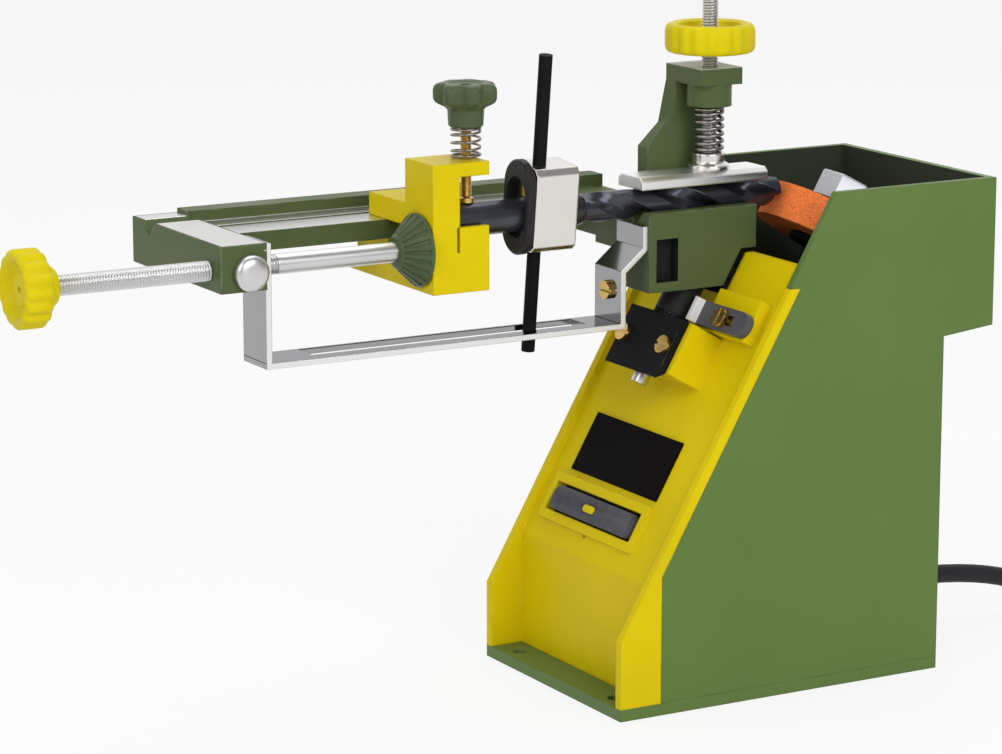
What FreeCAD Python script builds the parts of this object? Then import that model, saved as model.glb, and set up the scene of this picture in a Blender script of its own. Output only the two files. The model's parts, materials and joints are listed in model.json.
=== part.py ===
# Drill bit sharpener: housing with a grinding wheel, and a swinging arm that feeds a drill to it.
# Millimetres. X runs to the back, Y to the far side, Z up; the origin is the middle of the base.
import FreeCAD
import Part
import Sketcher
import math
import os
import re

SIZES = {
    # housing
    "wide": 95, "base_half": 67.7, "base_thick": 4.3, "wall": 3, "tall": 180.2,
    "over_x": 89.3, "over_z": 124, "over_rise": 2.2, "skirt_x": 51, "notch_z": 147.5,
    "slope": 60, "cheek_n": 72.9, "green_n": 69.2, "panel_n": 70.4, "panel_thick": 3,
    "cheek_thick": 3.5, "panel_front": 54.5, "panel_top": 154, "seam": 0.1, "gap": 0.3, "fit": 0.05,
    "mount_in": 6.2, "mount_y": 33.5, "mount_r": 2.6, "open_s": 120, "open_y": 8,
    # fittings on the slope, given along the slope (s), across it (y) and out of it (n)
    "label_s": 41.5, "label_long": 23, "label_wide": 58, "label_y": 3, "label_thick": 0.8,
    "rocker_s": 30, "rocker_y": 6, "rocker_wide": 56, "rocker_tall": 10.4, "rocker_lift": 4.4,
    "frame_wide": 4, "frame_lift": 1.6, "rocker_pin_r": 1,
    "tab_s": 104.6, "tab_long": 16.4, "tab_y": 39, "tab_wide": 27, "tab_n": 75.8,
    "stop_s": 110, "stop_tall": 9, "stop_y": 41, "stop_end": 9.5, "stop_thick": 3, "stop_slot": 15,
    "stop_screw_r": 1.6, "stop_lip": 3.4,
    "hinge_s": 84, "hinge_long": 20, "hinge_wide": 42, "hinge_n": 88, "hinge_plate": 3, "rib_half": 7, "rib_n": 77.2,
    "boss_in": 1.2, "hinge_screw_y": 13.5, "hinge_screw_s": 9, "hinge_screw_r": 1.6, "screw_head_r": 3.4, "screw_head": 1.6,
    "pin_n": 82, "pin_r": 3,
    "pin_low": 78, "pin_high": 139, "bush_r": 5, "lug_r": 6.5, "lug_s": 105.6, "shim": 1.2,
    # motor and wheel, along the spindle
    "spin_n": 37.4, "spindle_r": 4, "spindle_low": 54, "motor_r": 25.5, "can_wall": 2, "motor_s": 60,
    "motor_long": 68, "bearing_r": 9, "bearing_wide": 7, "rotor_r": 16, "air": 0.6, "plate_thick": 3,
    "wheel_s": 155, "wheel_thick": 13, "wheel_r": 25, "flange_r": 11, "flange_thick": 2.5,
    "nut_r": 7.5, "nut_tall": 6,
    # arm
    "drill_z": 174, "rod_z": 165, "head_x": 34, "head_end": 11, "head_low": 143, "head_step": 156,
    "head_top": 171.5, "head_half": 10, "head_n": 74, "wing_y": 27, "web_end": 16,
    "bar_x": 201, "bar_thick": 17, "bar_low": 158.5, "bar_high": 174.5, "arm_far": 61,
    "bed_near": 25, "bed_far": 52, "bed_low": 165, "bed_top": 172, "rail_low": 160, "rail_top": 176,
    "bed_slot_y": 40.5, "bed_slot": 3,
    "column_x": 23.6, "column_end": 5.5, "column_near": 8.6, "column_far": 15.2, "column_top": 213, "stud_x": 3.2,
    "neck_x": 12, "flare_low": 192, "flare_high": 202.4, "foot_x": 18, "foot_tall": 5.5,
    "cap_half": 8.7, "cap_thick": 8, "cap_near": 8, "boss_r": 8, "boss_tall": 6,
    "bolt_a": 12.5, "bolt_b": 1, "bolt_y": 20, "bolt_r": 2.5, "bolt_head_r": 4.3, "bolt_head": 4,
    "strip_thick": 2, "strip_near": 9, "strip_far": 9, "strip_low": 131, "strip_leg": 45,
    "strip_bend": 151, "strip_tab": 158.5, "strip_top": 167, "slot_from": 164, "slot_to": 56,
    "slot_near": 2.7, "slot_far": 7.6,
    "lock_r": 6.2, "lock_head": 4.5, "lock_shank": 3,
    # clamp over the drill
    "plate_from": 36, "plate_to": 17, "plate_half": 8, "plate_low": 179.7, "plate_tall": 4.5,
    "stud_r": 3, "stud_top": 246, "ferrule_r": 6, "ferrule_tall": 5.8, "spring_r": 4.9, "spring_wire": 1.3,
    "hand_r": 16.2, "hand_low": 226, "hand_tall": 10.5, "hand_hub": 6.5, "hand_dish": 4,
    # tailstock, feed and drill
    "post_x": 121, "post_long": 22, "post_half": 10, "post_low": 150.5, "post_top": 195.5,
    "notch_x": 110.5, "notch_low": 173.2, "notch_high": 190.8, "slit": 1, "slit_low": 164.5,
    "saddle_top": 180, "saddle_far": 37, "flange_far": 54, "flange_top": 157,
    "thread_r": 3.5, "rod_end": 115, "knob_face": 271, "knob_long": 10,
    "knob_r": 13.4, "knob_hub_r": 7.5, "knob_hub": 4.5, "knob_dish": 2.5, "dial_r": 14, "dial_long": 9.5,
    "dial_tip_r": 5.2, "dial_rim": 1.5,
    "screw_x": 102.6, "screw_r": 2, "pad_r": 2.6, "pad_tall": 1.6, "star_low": 206.5, "star_hub_r": 6.2,
    "star_hub": 6.9, "star_tall": 8.3, "star_r": 8, "lobe_r": 3.4, "star_wire": 0.9, "star_coil_r": 5,
    "tail_gap": 0.5, "shank_r": 6, "flute_r": 5.3, "flute_from": 57, "tip_x": 28, "point": 118,
    "flute_lead": 58, "flute_cut": 2.7, "flute_off": 5.0,
    "ring_x": 83.2, "ring_long": 3.2, "ring_r": 17, "ring_bore": 10.5, "ring_web": 1.5, "ring_edge": 1.2,
    "collar_long": 16.9, "collar_half": 14.9, "collar_deep": 8.8, "dog_rise": 2.7, "dog_r": 2.4, "dog_x": 74.5,
    "dog_tilt": 6.5, "dog_up": 56.5, "dog_down": 50.5,
    # mains lead
    "cord_r": 3.5, "gland_z": 20, "gland_r": 8.5, "gland_flange": 3, "gland_long": 27,
    "plug_neck": 10, "plug_long": 26, "plug_half": 13, "plug_rise": 8, "plug_pin": 19, "plug_pin_r": 2.4,
    "plug_pitch": 19,
}
CORD_ROUTE = [  # from the gland down to the floor and along it to the coil
    (97.7, 0, 20), (122, 0, 18.5), (150, -5, 9), (178, -18, 3.6), (206, -34, 3.6), (236, -34, 3.6),
]
COIL_HALF_TURNS = 6  # of each layer
COIL_PITCH = 8.2
COIL_INNER = 29.5
COIL_INSET = 2  # how far the rising half turn swings in
COIL_CLEAR = 2  # extra room outside it on the upper layer
COIL_TAIL = 35  # straight end that carries the plug clear of the turns

doc = FreeCAD.newDocument("sharpener")
dims = doc.addObject("Spreadsheet::Sheet", "dims")
for row, (alias, value) in enumerate(SIZES.items(), 1):
    dims.set(f"A{row}", alias)
    dims.set(f"B{row}", str(value))
    dims.setAlias(f"B{row}", alias)
doc.recompute()

X_AXIS = FreeCAD.Vector(1, 0, 0)
Y_AXIS = FreeCAD.Vector(0, 1, 0)
Z_AXIS = FreeCAD.Vector(0, 0, 1)
PLANES = {  # sketch turn, extrusion direction and the coordinate that the sketch sits at
    "xz": (FreeCAD.Rotation(X_AXIS, 90), Y_AXIS, "y"),
    "xy": (FreeCAD.Rotation(), Z_AXIS, "z"),
    "yz": (FreeCAD.Rotation(0.5, 0.5, 0.5, 0.5), X_AXIS, "x"),
}
TURNS = {  # turns a shape built along Z onto another axis
    "x": FreeCAD.Rotation(Y_AXIS, 90),
    "y": FreeCAD.Rotation(X_AXIS, -90),
    "z": FreeCAD.Rotation(),
}
parts = {}
serial = [0]


def bound(text):
    """Expression with every size name pointed at the sheet."""
    return re.sub(r"\b[a-z_][a-z0-9_]*\b", lambda m: f"dims.{m[0]}" if m[0] in SIZES else m[0], str(text))


def number(text):
    """Value of an expression in plain millimetres."""
    value = dims.evalExpression(bound(text))
    return float(getattr(value, "Value", value))


def make(kind):
    serial[0] += 1
    return doc.addObject(kind, f"shape{serial[0]}")


def bind(thing, **values):
    for prop, text in values.items():
        thing.setExpression(prop.replace("__", "."), bound(text))
    return thing


def move(thing, x="0", y="0", z="0"):
    return bind(thing, Placement__Base__x=x, Placement__Base__y=y, Placement__Base__z=z)


def box(x, y, z):
    """Box from three pairs of bounds."""
    thing = make("Part::Box")
    sides = {"Length": x, "Width": y, "Height": z}
    bind(thing, **{side: f"({high})-({low})" for side, (low, high) in sides.items()})
    return move(thing, x[0], y[0], z[0])


def rod(axis, low, high, radius, u="0", v="0"):
    """Cylinder along an axis, at u and v on the other two axes in order."""
    thing = make("Part::Cylinder")
    thing.Placement = FreeCAD.Placement(FreeCAD.Vector(), TURNS[axis])
    bind(thing, Radius=radius, Height=f"({high})-({low})")
    places = {"x": (low, u, v), "y": (u, low, v), "z": (u, v, low)}
    return move(thing, *places[axis])


def outline(corners):
    """Closed sketch of straight runs whose corners are bound to the sheet."""
    sketch = make("Sketcher::SketchObject")
    points = [FreeCAD.Vector(number(a), number(b), 0) for a, b in corners]
    count = len(points)
    for i in range(count):
        sketch.addGeometry(Part.LineSegment(points[i], points[(i + 1) % count]))
    links = [Sketcher.Constraint("Coincident", i, 2, (i + 1) % count, 1) for i in range(count)]
    sketch.addConstraint(links)
    for i, corner in enumerate(corners):
        for kind, text in zip(("DistanceX", "DistanceY"), corner):
            row = sketch.addConstraint(Sketcher.Constraint(kind, -1, 1, i, 1, number(text)))
            sketch.setExpression(f"Constraints[{row}]", bound(text))
    return sketch


def slab(plane, corners, low, high):
    """Outline in a plane, drawn out along the third axis."""
    turn, way, slot = PLANES[plane]
    sketch = outline(corners)
    sketch.Placement = FreeCAD.Placement(FreeCAD.Vector(), turn)
    sketch.setExpression(f"Placement.Base.{slot}", bound(low))
    thing = make("Part::Extrusion")
    thing.Base = sketch
    thing.DirMode = "Custom"
    thing.Dir = way
    thing.Solid = True
    return bind(thing, LengthFwd=f"({high})-({low})")


def spun(axis, corners, u="0", v="0"):
    """Outline of (along, radius) corners turned about an axis."""
    sketch = outline(corners)
    sketch.Placement = FreeCAD.Placement(FreeCAD.Vector(), FreeCAD.Rotation(-0.5, -0.5, -0.5, 0.5))
    thing = make("Part::Revolution")
    thing.Source = sketch
    thing.Axis = Z_AXIS
    thing.Angle = 360
    thing.Solid = True
    thing.Placement = FreeCAD.Placement(FreeCAD.Vector(), TURNS[axis])
    places = {"x": ("0", u, v), "y": (u, "0", v), "z": (u, v, "0")}
    return move(thing, *places[axis])


def fuse(*things):
    thing = make("Part::MultiFuse")
    thing.Shapes = list(things)
    return thing


def cut(base, *tools):
    thing = make("Part::Cut")
    thing.Base = base
    thing.Tool = tools[0] if len(tools) == 1 else fuse(*tools)
    return thing


def group(*things):
    thing = make("Part::Compound")
    thing.Links = list(things)
    return thing


def tilt(thing):
    """Turns a shape drawn along the slope (s, y, n) into the machine's frame."""
    thing = group(thing)
    thing.Placement = FreeCAD.Placement(FreeCAD.Vector(), FreeCAD.Rotation(Y_AXIS, -SIZES["slope"]))
    thing.setExpression("Placement.Rotation.Angle", bound("-slope*1deg"))
    return thing


def x_on(z, n):
    """X of the plane at distance n along the slope's normal, at height z."""
    return f"(({z})*cos(slope*1deg)-({n}))/sin(slope*1deg)"


def z_on(x, n):
    """Height of the plane at distance n, at a given X."""
    return f"(({n})+({x})*sin(slope*1deg))/cos(slope*1deg)"


def keep(label, thing):
    thing.Label = label
    parts[label] = thing
    return thing


def coil_spring(label, axis_x, low, high, mean_r, wire, turns):
    """Compression spring as one unbroken tube about a vertical axis."""
    helix = make("Part::Helix")
    helix.SegmentLength = 1
    bind(helix, Radius=mean_r, Height=f"({high})-({low})-({wire})", Pitch=f"(({high})-({low})-({wire}))/{turns}")
    ring = make("Part::Circle")
    bind(ring, Radius=f"({wire})/2")
    ring.Placement = FreeCAD.Placement(FreeCAD.Vector(number(mean_r), 0, 0), FreeCAD.Rotation(X_AXIS, 90))
    ring.setExpression("Placement.Base.x", bound(mean_r))
    doc.recompute()
    sweep = make("Part::Sweep")
    sweep.Sections = [ring]
    sweep.Spine = (helix, [f"Edge{i + 1}" for i in range(len(helix.Shape.Edges))])
    sweep.Solid = True
    sweep.Frenet = True
    least = (number(high) - number(low) - number(wire)) / turns - number(wire)
    print(label, "least gap between turns", round(least, 2))
    return keep(label, move(sweep, axis_x, "0", f"({low})+({wire})/2"))


def housing():
    """Base, green shell and the cast front with its recessed slope."""
    half = "wide/2"
    foot = box(("-base_half", "base_half"), (f"-{half}", half), ("0", "base_thick"))
    holes = [rod("z", "-1", "base_thick+1", "mount_r", "-base_half+mount_in", side + "mount_y") for side in ("", "-")]
    keep("base_plate", cut(foot, *holes))
    side = [("-skirt_x", "base_thick"), ("base_half", "base_thick"), ("base_half", "over_z"),
            ("over_x", "over_z+over_rise"), ("over_x", "tall"), (x_on("tall", "cheek_n"), "tall"),
            (x_on("notch_z", "cheek_n"), "notch_z"), (x_on("notch_z", "green_n"), "notch_z"),
            ("-skirt_x", z_on("-skirt_x", "green_n"))]
    room = [("-base_half-50", "-10"), ("base_half-wall", "-10"), ("base_half-wall", "over_z+wall"),
            ("over_x-wall", "over_z+over_rise+wall"), ("over_x-wall", "tall+20"), ("-base_half-50", "tall+20")]
    shell = slab("xz", side, f"-{half}", half)
    inside = slab("xz", room, f"-{half}+wall", f"{half}-wall")
    exit_hole = rod("x", "base_half-wall-5", "base_half+5", "cord_r+1.5", "0", "gland_z")
    keep("housing_shell", cut(shell, inside, exit_hole))
    cheek = [("-base_half", "base_thick"), ("-skirt_x-seam", "base_thick"),
             ("-skirt_x-seam", z_on("-skirt_x-seam", "green_n+seam")),
             (x_on("notch_z-seam", "green_n+seam"), "notch_z-seam"),
             (x_on("notch_z-seam", "cheek_n"), "notch_z-seam"), ("-base_half", z_on("-base_half", "cheek_n"))]
    near = slab("xz", cheek, f"-{half}", f"-{half}+cheek_thick")
    far = slab("xz", cheek, f"{half}-cheek_thick", half)
    back = "panel_n-panel_thick"
    panel = [("-panel_front", "base_thick"), ("-panel_front+panel_thick", "base_thick"),
             ("-panel_front+panel_thick", z_on("-panel_front+panel_thick", back)),
             (x_on("panel_top", back), "panel_top"), (x_on("panel_top", "panel_n"), "panel_top"),
             ("-panel_front", z_on("-panel_front", "panel_n"))]
    sheet = slab("xz", panel, f"-{half}+cheek_thick", f"{half}-cheek_thick")
    tab = tilt(box(("tab_s", "tab_s+tab_long"), ("-tab_y", "-tab_y+tab_wide"), ("panel_n-1", "tab_n")))
    rim_s, rim_y = "(rocker_tall/2+frame_wide)", "(rocker_wide/2+frame_wide)"
    rim = tilt(box((f"rocker_s-{rim_s}", f"rocker_s+{rim_s}"), (f"rocker_y-{rim_y}", f"rocker_y+{rim_y}"),
                   ("panel_n-1", "panel_n+frame_lift")))
    window = tilt(box(("rocker_s-rocker_tall/2-gap", "rocker_s+rocker_tall/2+gap"),
                      ("rocker_y-rocker_wide/2-1", "rocker_y+rocker_wide/2+1"), ("panel_n-10", "panel_n+10")))
    boss = tilt(box(("hinge_s", "hinge_s+hinge_long"), ("-hinge_wide/2+boss_in", "hinge_wide/2-boss_in"),
                    ("panel_n-1", "hinge_n-hinge_plate")))
    channel = tilt(box(("hinge_s-1", "hinge_s+hinge_long+1"), ("-rib_half-gap/3", "rib_half+gap/3"),
                       ("rib_n-gap/3", "hinge_n")))
    hinge_taps = [tilt(rod("z", "panel_n", "hinge_n", "hinge_screw_r+fit", "hinge_s+hinge_screw_s", side))
                  for side in ("-hinge_screw_y", "hinge_screw_y")]
    mouth = tilt(box(("open_s", "open_s+60"), ("-open_y", f"{half}-cheek_thick+seam"), ("panel_n-15", "panel_n+15")))
    pin_way = tilt(rod("x", f"rocker_s-{rim_s}-1", f"rocker_s+{rim_s}-1", "rocker_pin_r+fit", "rocker_y", "panel_n"))
    tapped = tilt(rod("z", "panel_n-4", "tab_n+1", "stop_screw_r+fit", "stop_s", "-stop_y+stop_slot"))
    keep("front_casting", cut(fuse(near, far, sheet, tab, rim, boss), window, mouth, pin_way, tapped, channel,
                              *hinge_taps))


def slope_fittings():
    """What is fixed to the slope: label, hinge, switch and its rocker, swing stop."""
    keep("label_plate", tilt(box(("label_s", "label_s+label_long"), ("label_y-label_wide/2", "label_y+label_wide/2"),
                                 ("panel_n", "panel_n+label_thick"))))
    length = ("hinge_s", "hinge_s+hinge_long")
    block = fuse(box(length, ("-hinge_wide/2", "hinge_wide/2"), ("hinge_n-hinge_plate", "hinge_n")),
                 box(length, ("-rib_half", "rib_half"), ("rib_n", "hinge_n-1")))
    bore = rod("x", "hinge_s-1", "hinge_s+hinge_long+1", "pin_r+fit", "0", "pin_n")
    sides, row = ("-hinge_screw_y", "hinge_screw_y"), "hinge_s+hinge_screw_s"
    sinks = [rod("z", "hinge_n-hinge_plate-1", "hinge_n+1", "hinge_screw_r+fit", row, side) for side in sides]
    keep("hinge_bracket", tilt(cut(block, bore, *sinks)))
    screws = []
    for side in sides:
        body = fuse(rod("z", "panel_n+gap", "hinge_n", "hinge_screw_r", row, side),
                    rod("z", "hinge_n", "hinge_n+screw_head", "screw_head_r", row, side))
        slot = box((f"{row}-0.5", f"{row}+0.5"), (f"{side}-5", f"{side}+5"), ("hinge_n+screw_head/2", "hinge_n+3"))
        screws.append(cut(body, slot))
    keep("hinge_screws", tilt(group(*screws)))
    keep("pivot_pin", tilt(rod("x", "pin_low", "pin_high", "pin_r", "0", "pin_n")))
    top = "hinge_s+hinge_long"
    shim = cut(rod("x", top, f"{top}+shim", "lug_r", "0", "pin_n"),
               rod("x", f"{top}-1", f"{top}+shim+1", "pin_r+fit", "0", "pin_n"))
    keep("thrust_washer", tilt(shim))
    low, high = "panel_n+0.6", "panel_n+rocker_lift"
    cap = slab("yz", [("rocker_y-rocker_wide/2", low), ("rocker_y+rocker_wide/2", low),
                      ("rocker_y+rocker_wide/2", high), ("rocker_y", f"{high}-1.8"),
                      ("rocker_y-rocker_wide/2", high)], "rocker_s-rocker_tall/2", "rocker_s+rocker_tall/2")
    boss = box(("rocker_s-rocker_tall/2", "rocker_s+rocker_tall/2"), ("rocker_y-4", "rocker_y+4"),
               ("panel_n-2.4", "panel_n+1"))
    hole = rod("x", "rocker_s-20", "rocker_s+20", "rocker_pin_r+fit", "rocker_y", "panel_n")
    keep("rocker", tilt(cut(fuse(cap, boss), hole)))
    reach = "rocker_tall/2+frame_wide-1"
    keep("rocker_pin", tilt(rod("x", f"rocker_s-{reach}", f"rocker_s+{reach}", "rocker_pin_r", "rocker_y", "panel_n")))
    behind = "panel_n-panel_thick"
    keep("switch_body", tilt(fuse(
        cut(box(("rocker_s-9", "rocker_s+9"), ("rocker_y-36", "rocker_y+36"), (f"{behind}-2", behind)),
            box(("rocker_s-5.2", "rocker_s+5.2"), ("rocker_y-34", "rocker_y+34"), (f"{behind}-1.2", f"{behind}+1"))),
        box(("rocker_s-7", "rocker_s+7"), ("rocker_y-13", "rocker_y+13"), (f"{behind}-22", f"{behind}-2")))))
    bar = fuse(box(("stop_s-stop_tall/2", "stop_s+stop_tall/2"), ("-stop_y+stop_tall/2", "-stop_end"),
                   ("tab_n", "tab_n+stop_thick")),
               rod("z", "tab_n", "tab_n+stop_thick", "stop_tall/2", "stop_s", "-stop_y+stop_tall/2"),
               box(("stop_s-stop_tall/2", "stop_s+stop_tall/2"), ("-stop_end-2", "-stop_end"),
                   ("tab_n", "tab_n+stop_thick+stop_lip")))
    way = box(("stop_s-stop_screw_r-gap", "stop_s+stop_screw_r+gap"),
              ("-stop_y+stop_slot-6", "-stop_y+stop_slot+7"), ("tab_n-1", "tab_n+stop_thick+1"))
    keep("swing_stop", tilt(cut(move(bar, z="gap/3"), way)))
    head = "tab_n+stop_thick+2*gap/3"
    stem = fuse(rod("z", "panel_n", head, "stop_screw_r", "stop_s", "-stop_y+stop_slot"),
                rod("z", head, f"{head}+2", "3.4", "stop_s", "-stop_y+stop_slot"))
    nick = box(("stop_s-5", "stop_s+5"), ("-stop_y+stop_slot-0.5", "-stop_y+stop_slot+0.5"), (f"{head}+1", f"{head}+4"))
    keep("stop_screw", tilt(cut(stem, nick)))


def motor():
    """Motor on the sloping spindle, and the wheel above it."""
    end = "(motor_s+motor_long)"
    can = fuse(cut(rod("x", "motor_s", end, "motor_r", "0", "spin_n"),
                   rod("x", "motor_s+can_wall", f"{end}-can_wall", "motor_r-can_wall", "0", "spin_n")),
               rod("x", "motor_s", "motor_s+bearing_wide+1", "bearing_r+2", "0", "spin_n"),
               rod("x", f"{end}-bearing_wide-1", end, "bearing_r+2", "0", "spin_n"))
    seats = [rod("x", "motor_s-1", "motor_s+bearing_wide", "bearing_r", "0", "spin_n"),
             rod("x", f"{end}-bearing_wide", f"{end}+1", "bearing_r", "0", "spin_n"),
             rod("x", "motor_s-2", f"{end}+2", "spindle_r+1", "0", "spin_n")]
    keep("motor_can", tilt(cut(can, *seats)))
    rings = []
    for low in ("motor_s", f"{end}-bearing_wide"):
        ring = cut(rod("x", low, f"{low}+bearing_wide", "bearing_r", "0", "spin_n"),
                   rod("x", f"{low}-1", f"{low}+bearing_wide+1", "spindle_r+fit", "0", "spin_n"))
        rings.append(ring)
    keep("bearings", tilt(group(*rings)))
    core_low, core_high = "motor_s+16", f"{end}-16"
    keep("stator", tilt(cut(rod("x", core_low, core_high, "motor_r-can_wall", "0", "spin_n"),
                            rod("x", "motor_s", end, "rotor_r+air", "0", "spin_n"))))
    keep("rotor", tilt(cut(rod("x", core_low, core_high, "rotor_r", "0", "spin_n"),
                           rod("x", "motor_s", end, "spindle_r", "0", "spin_n"))))
    shelf = box((end, f"{end}+plate_thick"), ("-wide/2+wall", "wide/2-wall"), ("spin_n-24", "spin_n+26"))
    keep("motor_shelf", tilt(cut(shelf, rod("x", f"{end}-1", f"{end}+9", "bearing_r+1", "0", "spin_n"))))
    wheel_top = "wheel_s+wheel_thick"
    nut_low = f"{wheel_top}+flange_thick"
    keep("spindle", tilt(rod("x", "spindle_low", f"{nut_low}+nut_tall+1.5", "spindle_r", "0", "spin_n")))

    def disc(low, high, radius):
        return cut(rod("x", low, high, radius, "0", "spin_n"),
                   rod("x", f"{low}-1", f"{high}+1", "spindle_r", "0", "spin_n"))

    keep("grinding_wheel", tilt(disc("wheel_s", wheel_top, "wheel_r")))
    keep("wheel_flanges", tilt(group(disc("wheel_s-flange_thick", "wheel_s", "flange_r"),
                                     disc(wheel_top, nut_low, "flange_r"))))
    keep("wheel_nut", tilt(disc(nut_low, f"{nut_low}+nut_tall", "nut_r")))
    keep("cooling_fan", tilt(disc("spindle_low+1", "spindle_low+4", "motor_r-6")))


def arm():
    """Swinging arm: head with the drill's vee, bed, far rail and front bar."""
    rise = "head_top-drill_z+(flute_r+gap)/sin(45deg)"
    head = slab("xz", [("-head_x", "head_low"), (x_on("head_low", "head_n"), "head_low"),
                       (x_on("head_step", "head_n"), "head_step"), ("head_end", "head_step"),
                       ("head_end", "head_top"), ("-head_x", "head_top")], "-head_half", "head_half")
    wing = box(("-head_x", "column_end"), ("head_half", "wing_y"), ("head_step", "head_top"))
    web = box(("-head_x", "-web_end"), ("head_half", "arm_far"), ("bar_low", "head_top"))
    bed = box(("-bar_x+bar_thick", "-head_x"), ("bed_near", "bed_far"), ("bed_low", "bed_top"))
    rail = box(("-bar_x+bar_thick", "-web_end"), ("bed_far", "arm_far"), ("rail_low", "rail_top"))
    bar = box(("-bar_x", "-bar_x+bar_thick"), ("-head_half", "arm_far"), ("bar_low", "bar_high"))
    lug = tilt(rod("x", "lug_s", "lug_s+18", "lug_r", "0", "pin_n"))
    vee = slab("yz", [("0", f"head_top-({rise})"), (f"({rise})+5", "head_top+5"), (f"-({rise})-5", "head_top+5")],
               "-head_x-1", "head_end+1")
    mark = slab("yz", [("47.5", "bar_high-5"), ("54.5", "bar_high+2"), ("40.5", "bar_high+2")],
                "-bar_x-1", "-bar_x+bar_thick+1")
    pocket = box(("-head_x+3", "-head_x+12"), ("-head_half-1", "-head_half+5"), ("head_low+3.5", "head_low+19"))
    slot = box(("-bar_x+bar_thick+6", "-head_x-6"), ("bed_slot_y-bed_slot/2", "bed_slot_y+bed_slot/2"),
               ("bed_low-1", "bed_top+1"))
    bore = tilt(rod("x", "lug_s-1", "pin_high+1", "bush_r", "0", "pin_n"))
    feed = rod("x", "-bar_x-1", "-bar_x+bar_thick+1", "thread_r+fit", "0", "rod_z")
    lock = rod("y", "-head_half-1", "0", "lock_shank", "-bar_x+bar_thick/2+2", "rod_z")
    spots = ("-bolt_a", "-bolt_b")
    bolts = [rod("z", "head_step-1", "head_top+1", "bolt_r", spot, "bolt_y") for spot in spots]
    keep("arm_casting", cut(fuse(head, wing, web, bed, rail, bar, lug), vee, mark, pocket, slot, bore, feed, lock,
                            *bolts))
    keep("pivot_bush", tilt(cut(rod("x", "lug_s", "pin_high", "bush_r", "0", "pin_n"),
                                rod("x", "lug_s-1", "pin_high+2", "pin_r+fit", "0", "pin_n"))))
    post = slab("xz", [("-column_x", "head_top"), ("column_end", "head_top"), ("column_end", "column_top"),
                       ("-neck_x", "column_top"), ("-neck_x", "flare_high"), ("-column_x", "flare_low")],
                "column_near", "column_far")
    foot = box(("-foot_x", "column_end"), ("column_near", "wing_y"), ("head_top", "head_top+foot_tall"))
    cap = box(("-stud_x-cap_half", "-stud_x+cap_half"), ("-cap_near", "column_far"),
              ("column_top", "column_top+cap_thick"))
    boss = rod("z", "column_top-boss_tall", "column_top", "boss_r", "-stud_x", "0")
    eye = rod("z", "column_top-boss_tall-1", "column_top+cap_thick+1", "stud_r+fit", "-stud_x", "0")
    threads = [rod("z", "head_top-1", "head_top+foot_tall-gap", "bolt_r", spot, "bolt_y") for spot in spots]
    keep("clamp_column", cut(fuse(post, foot, cap, boss), eye, *threads))
    bolt_set = []
    for spot in spots:
        bolt_set.append(fuse(rod("z", "head_step", "head_top+foot_tall-2*gap", "bolt_r", spot, "bolt_y"),
                             rod("z", "head_step-bolt_head", "head_step", "bolt_head_r", spot, "bolt_y")))
    keep("column_bolts", group(*bolt_set))
    back, front = "-bar_x+bar_thick", "-head_x"
    band = slab("xz", [(back, "bar_high-0.5"), (back, "strip_low"), ("-strip_leg+strip_thick", "strip_low"),
                       ("-strip_leg+strip_thick", "strip_bend"), (front, "strip_tab"), (front, "strip_top"),
                       (f"{front}-strip_thick", "strip_top"), (f"{front}-strip_thick", "strip_tab+0.9"),
                       ("-strip_leg", "strip_bend+0.9"), ("-strip_leg", "strip_low+strip_thick"),
                       (f"{back}+strip_thick", "strip_low+strip_thick"), (f"{back}+strip_thick", "bar_high-0.5")],
                "-strip_near", "strip_far")
    long_slot = box(("-slot_from", "-slot_to"), ("-slot_near", "slot_far"), ("strip_low-1", "strip_low+3"))
    passage = rod("x", f"{back}-1", f"{back}+4", "thread_r+2*gap", "0", "rod_z")
    bite = rod("x", "-strip_leg-1", "-strip_leg+9", "1.6", "0", "strip_low+13")
    keep("index_strip", cut(band, long_slot, passage, bite))
    knob = fuse(rod("x", "-strip_leg-1.8", "-strip_leg", "3.4", "0", "strip_low+13"),
                rod("x", "-strip_leg", "-strip_leg+6", "1.6", "0", "strip_low+13"))
    cross = box(("-strip_leg-3", "-strip_leg-0.9"), ("-4", "4"), ("strip_low+12.5", "strip_low+13.5"))
    keep("strip_screw", cut(knob, cross))
    bolt_x = "-bar_x+bar_thick/2+2"
    keep("lock_bolt", fuse(rod("y", "-head_half-lock_head", "-head_half", "lock_r", bolt_x, "rod_z"),
                           rod("y", "-head_half", "-thread_r-2*gap", "lock_shank", bolt_x, "rod_z")))


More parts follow.
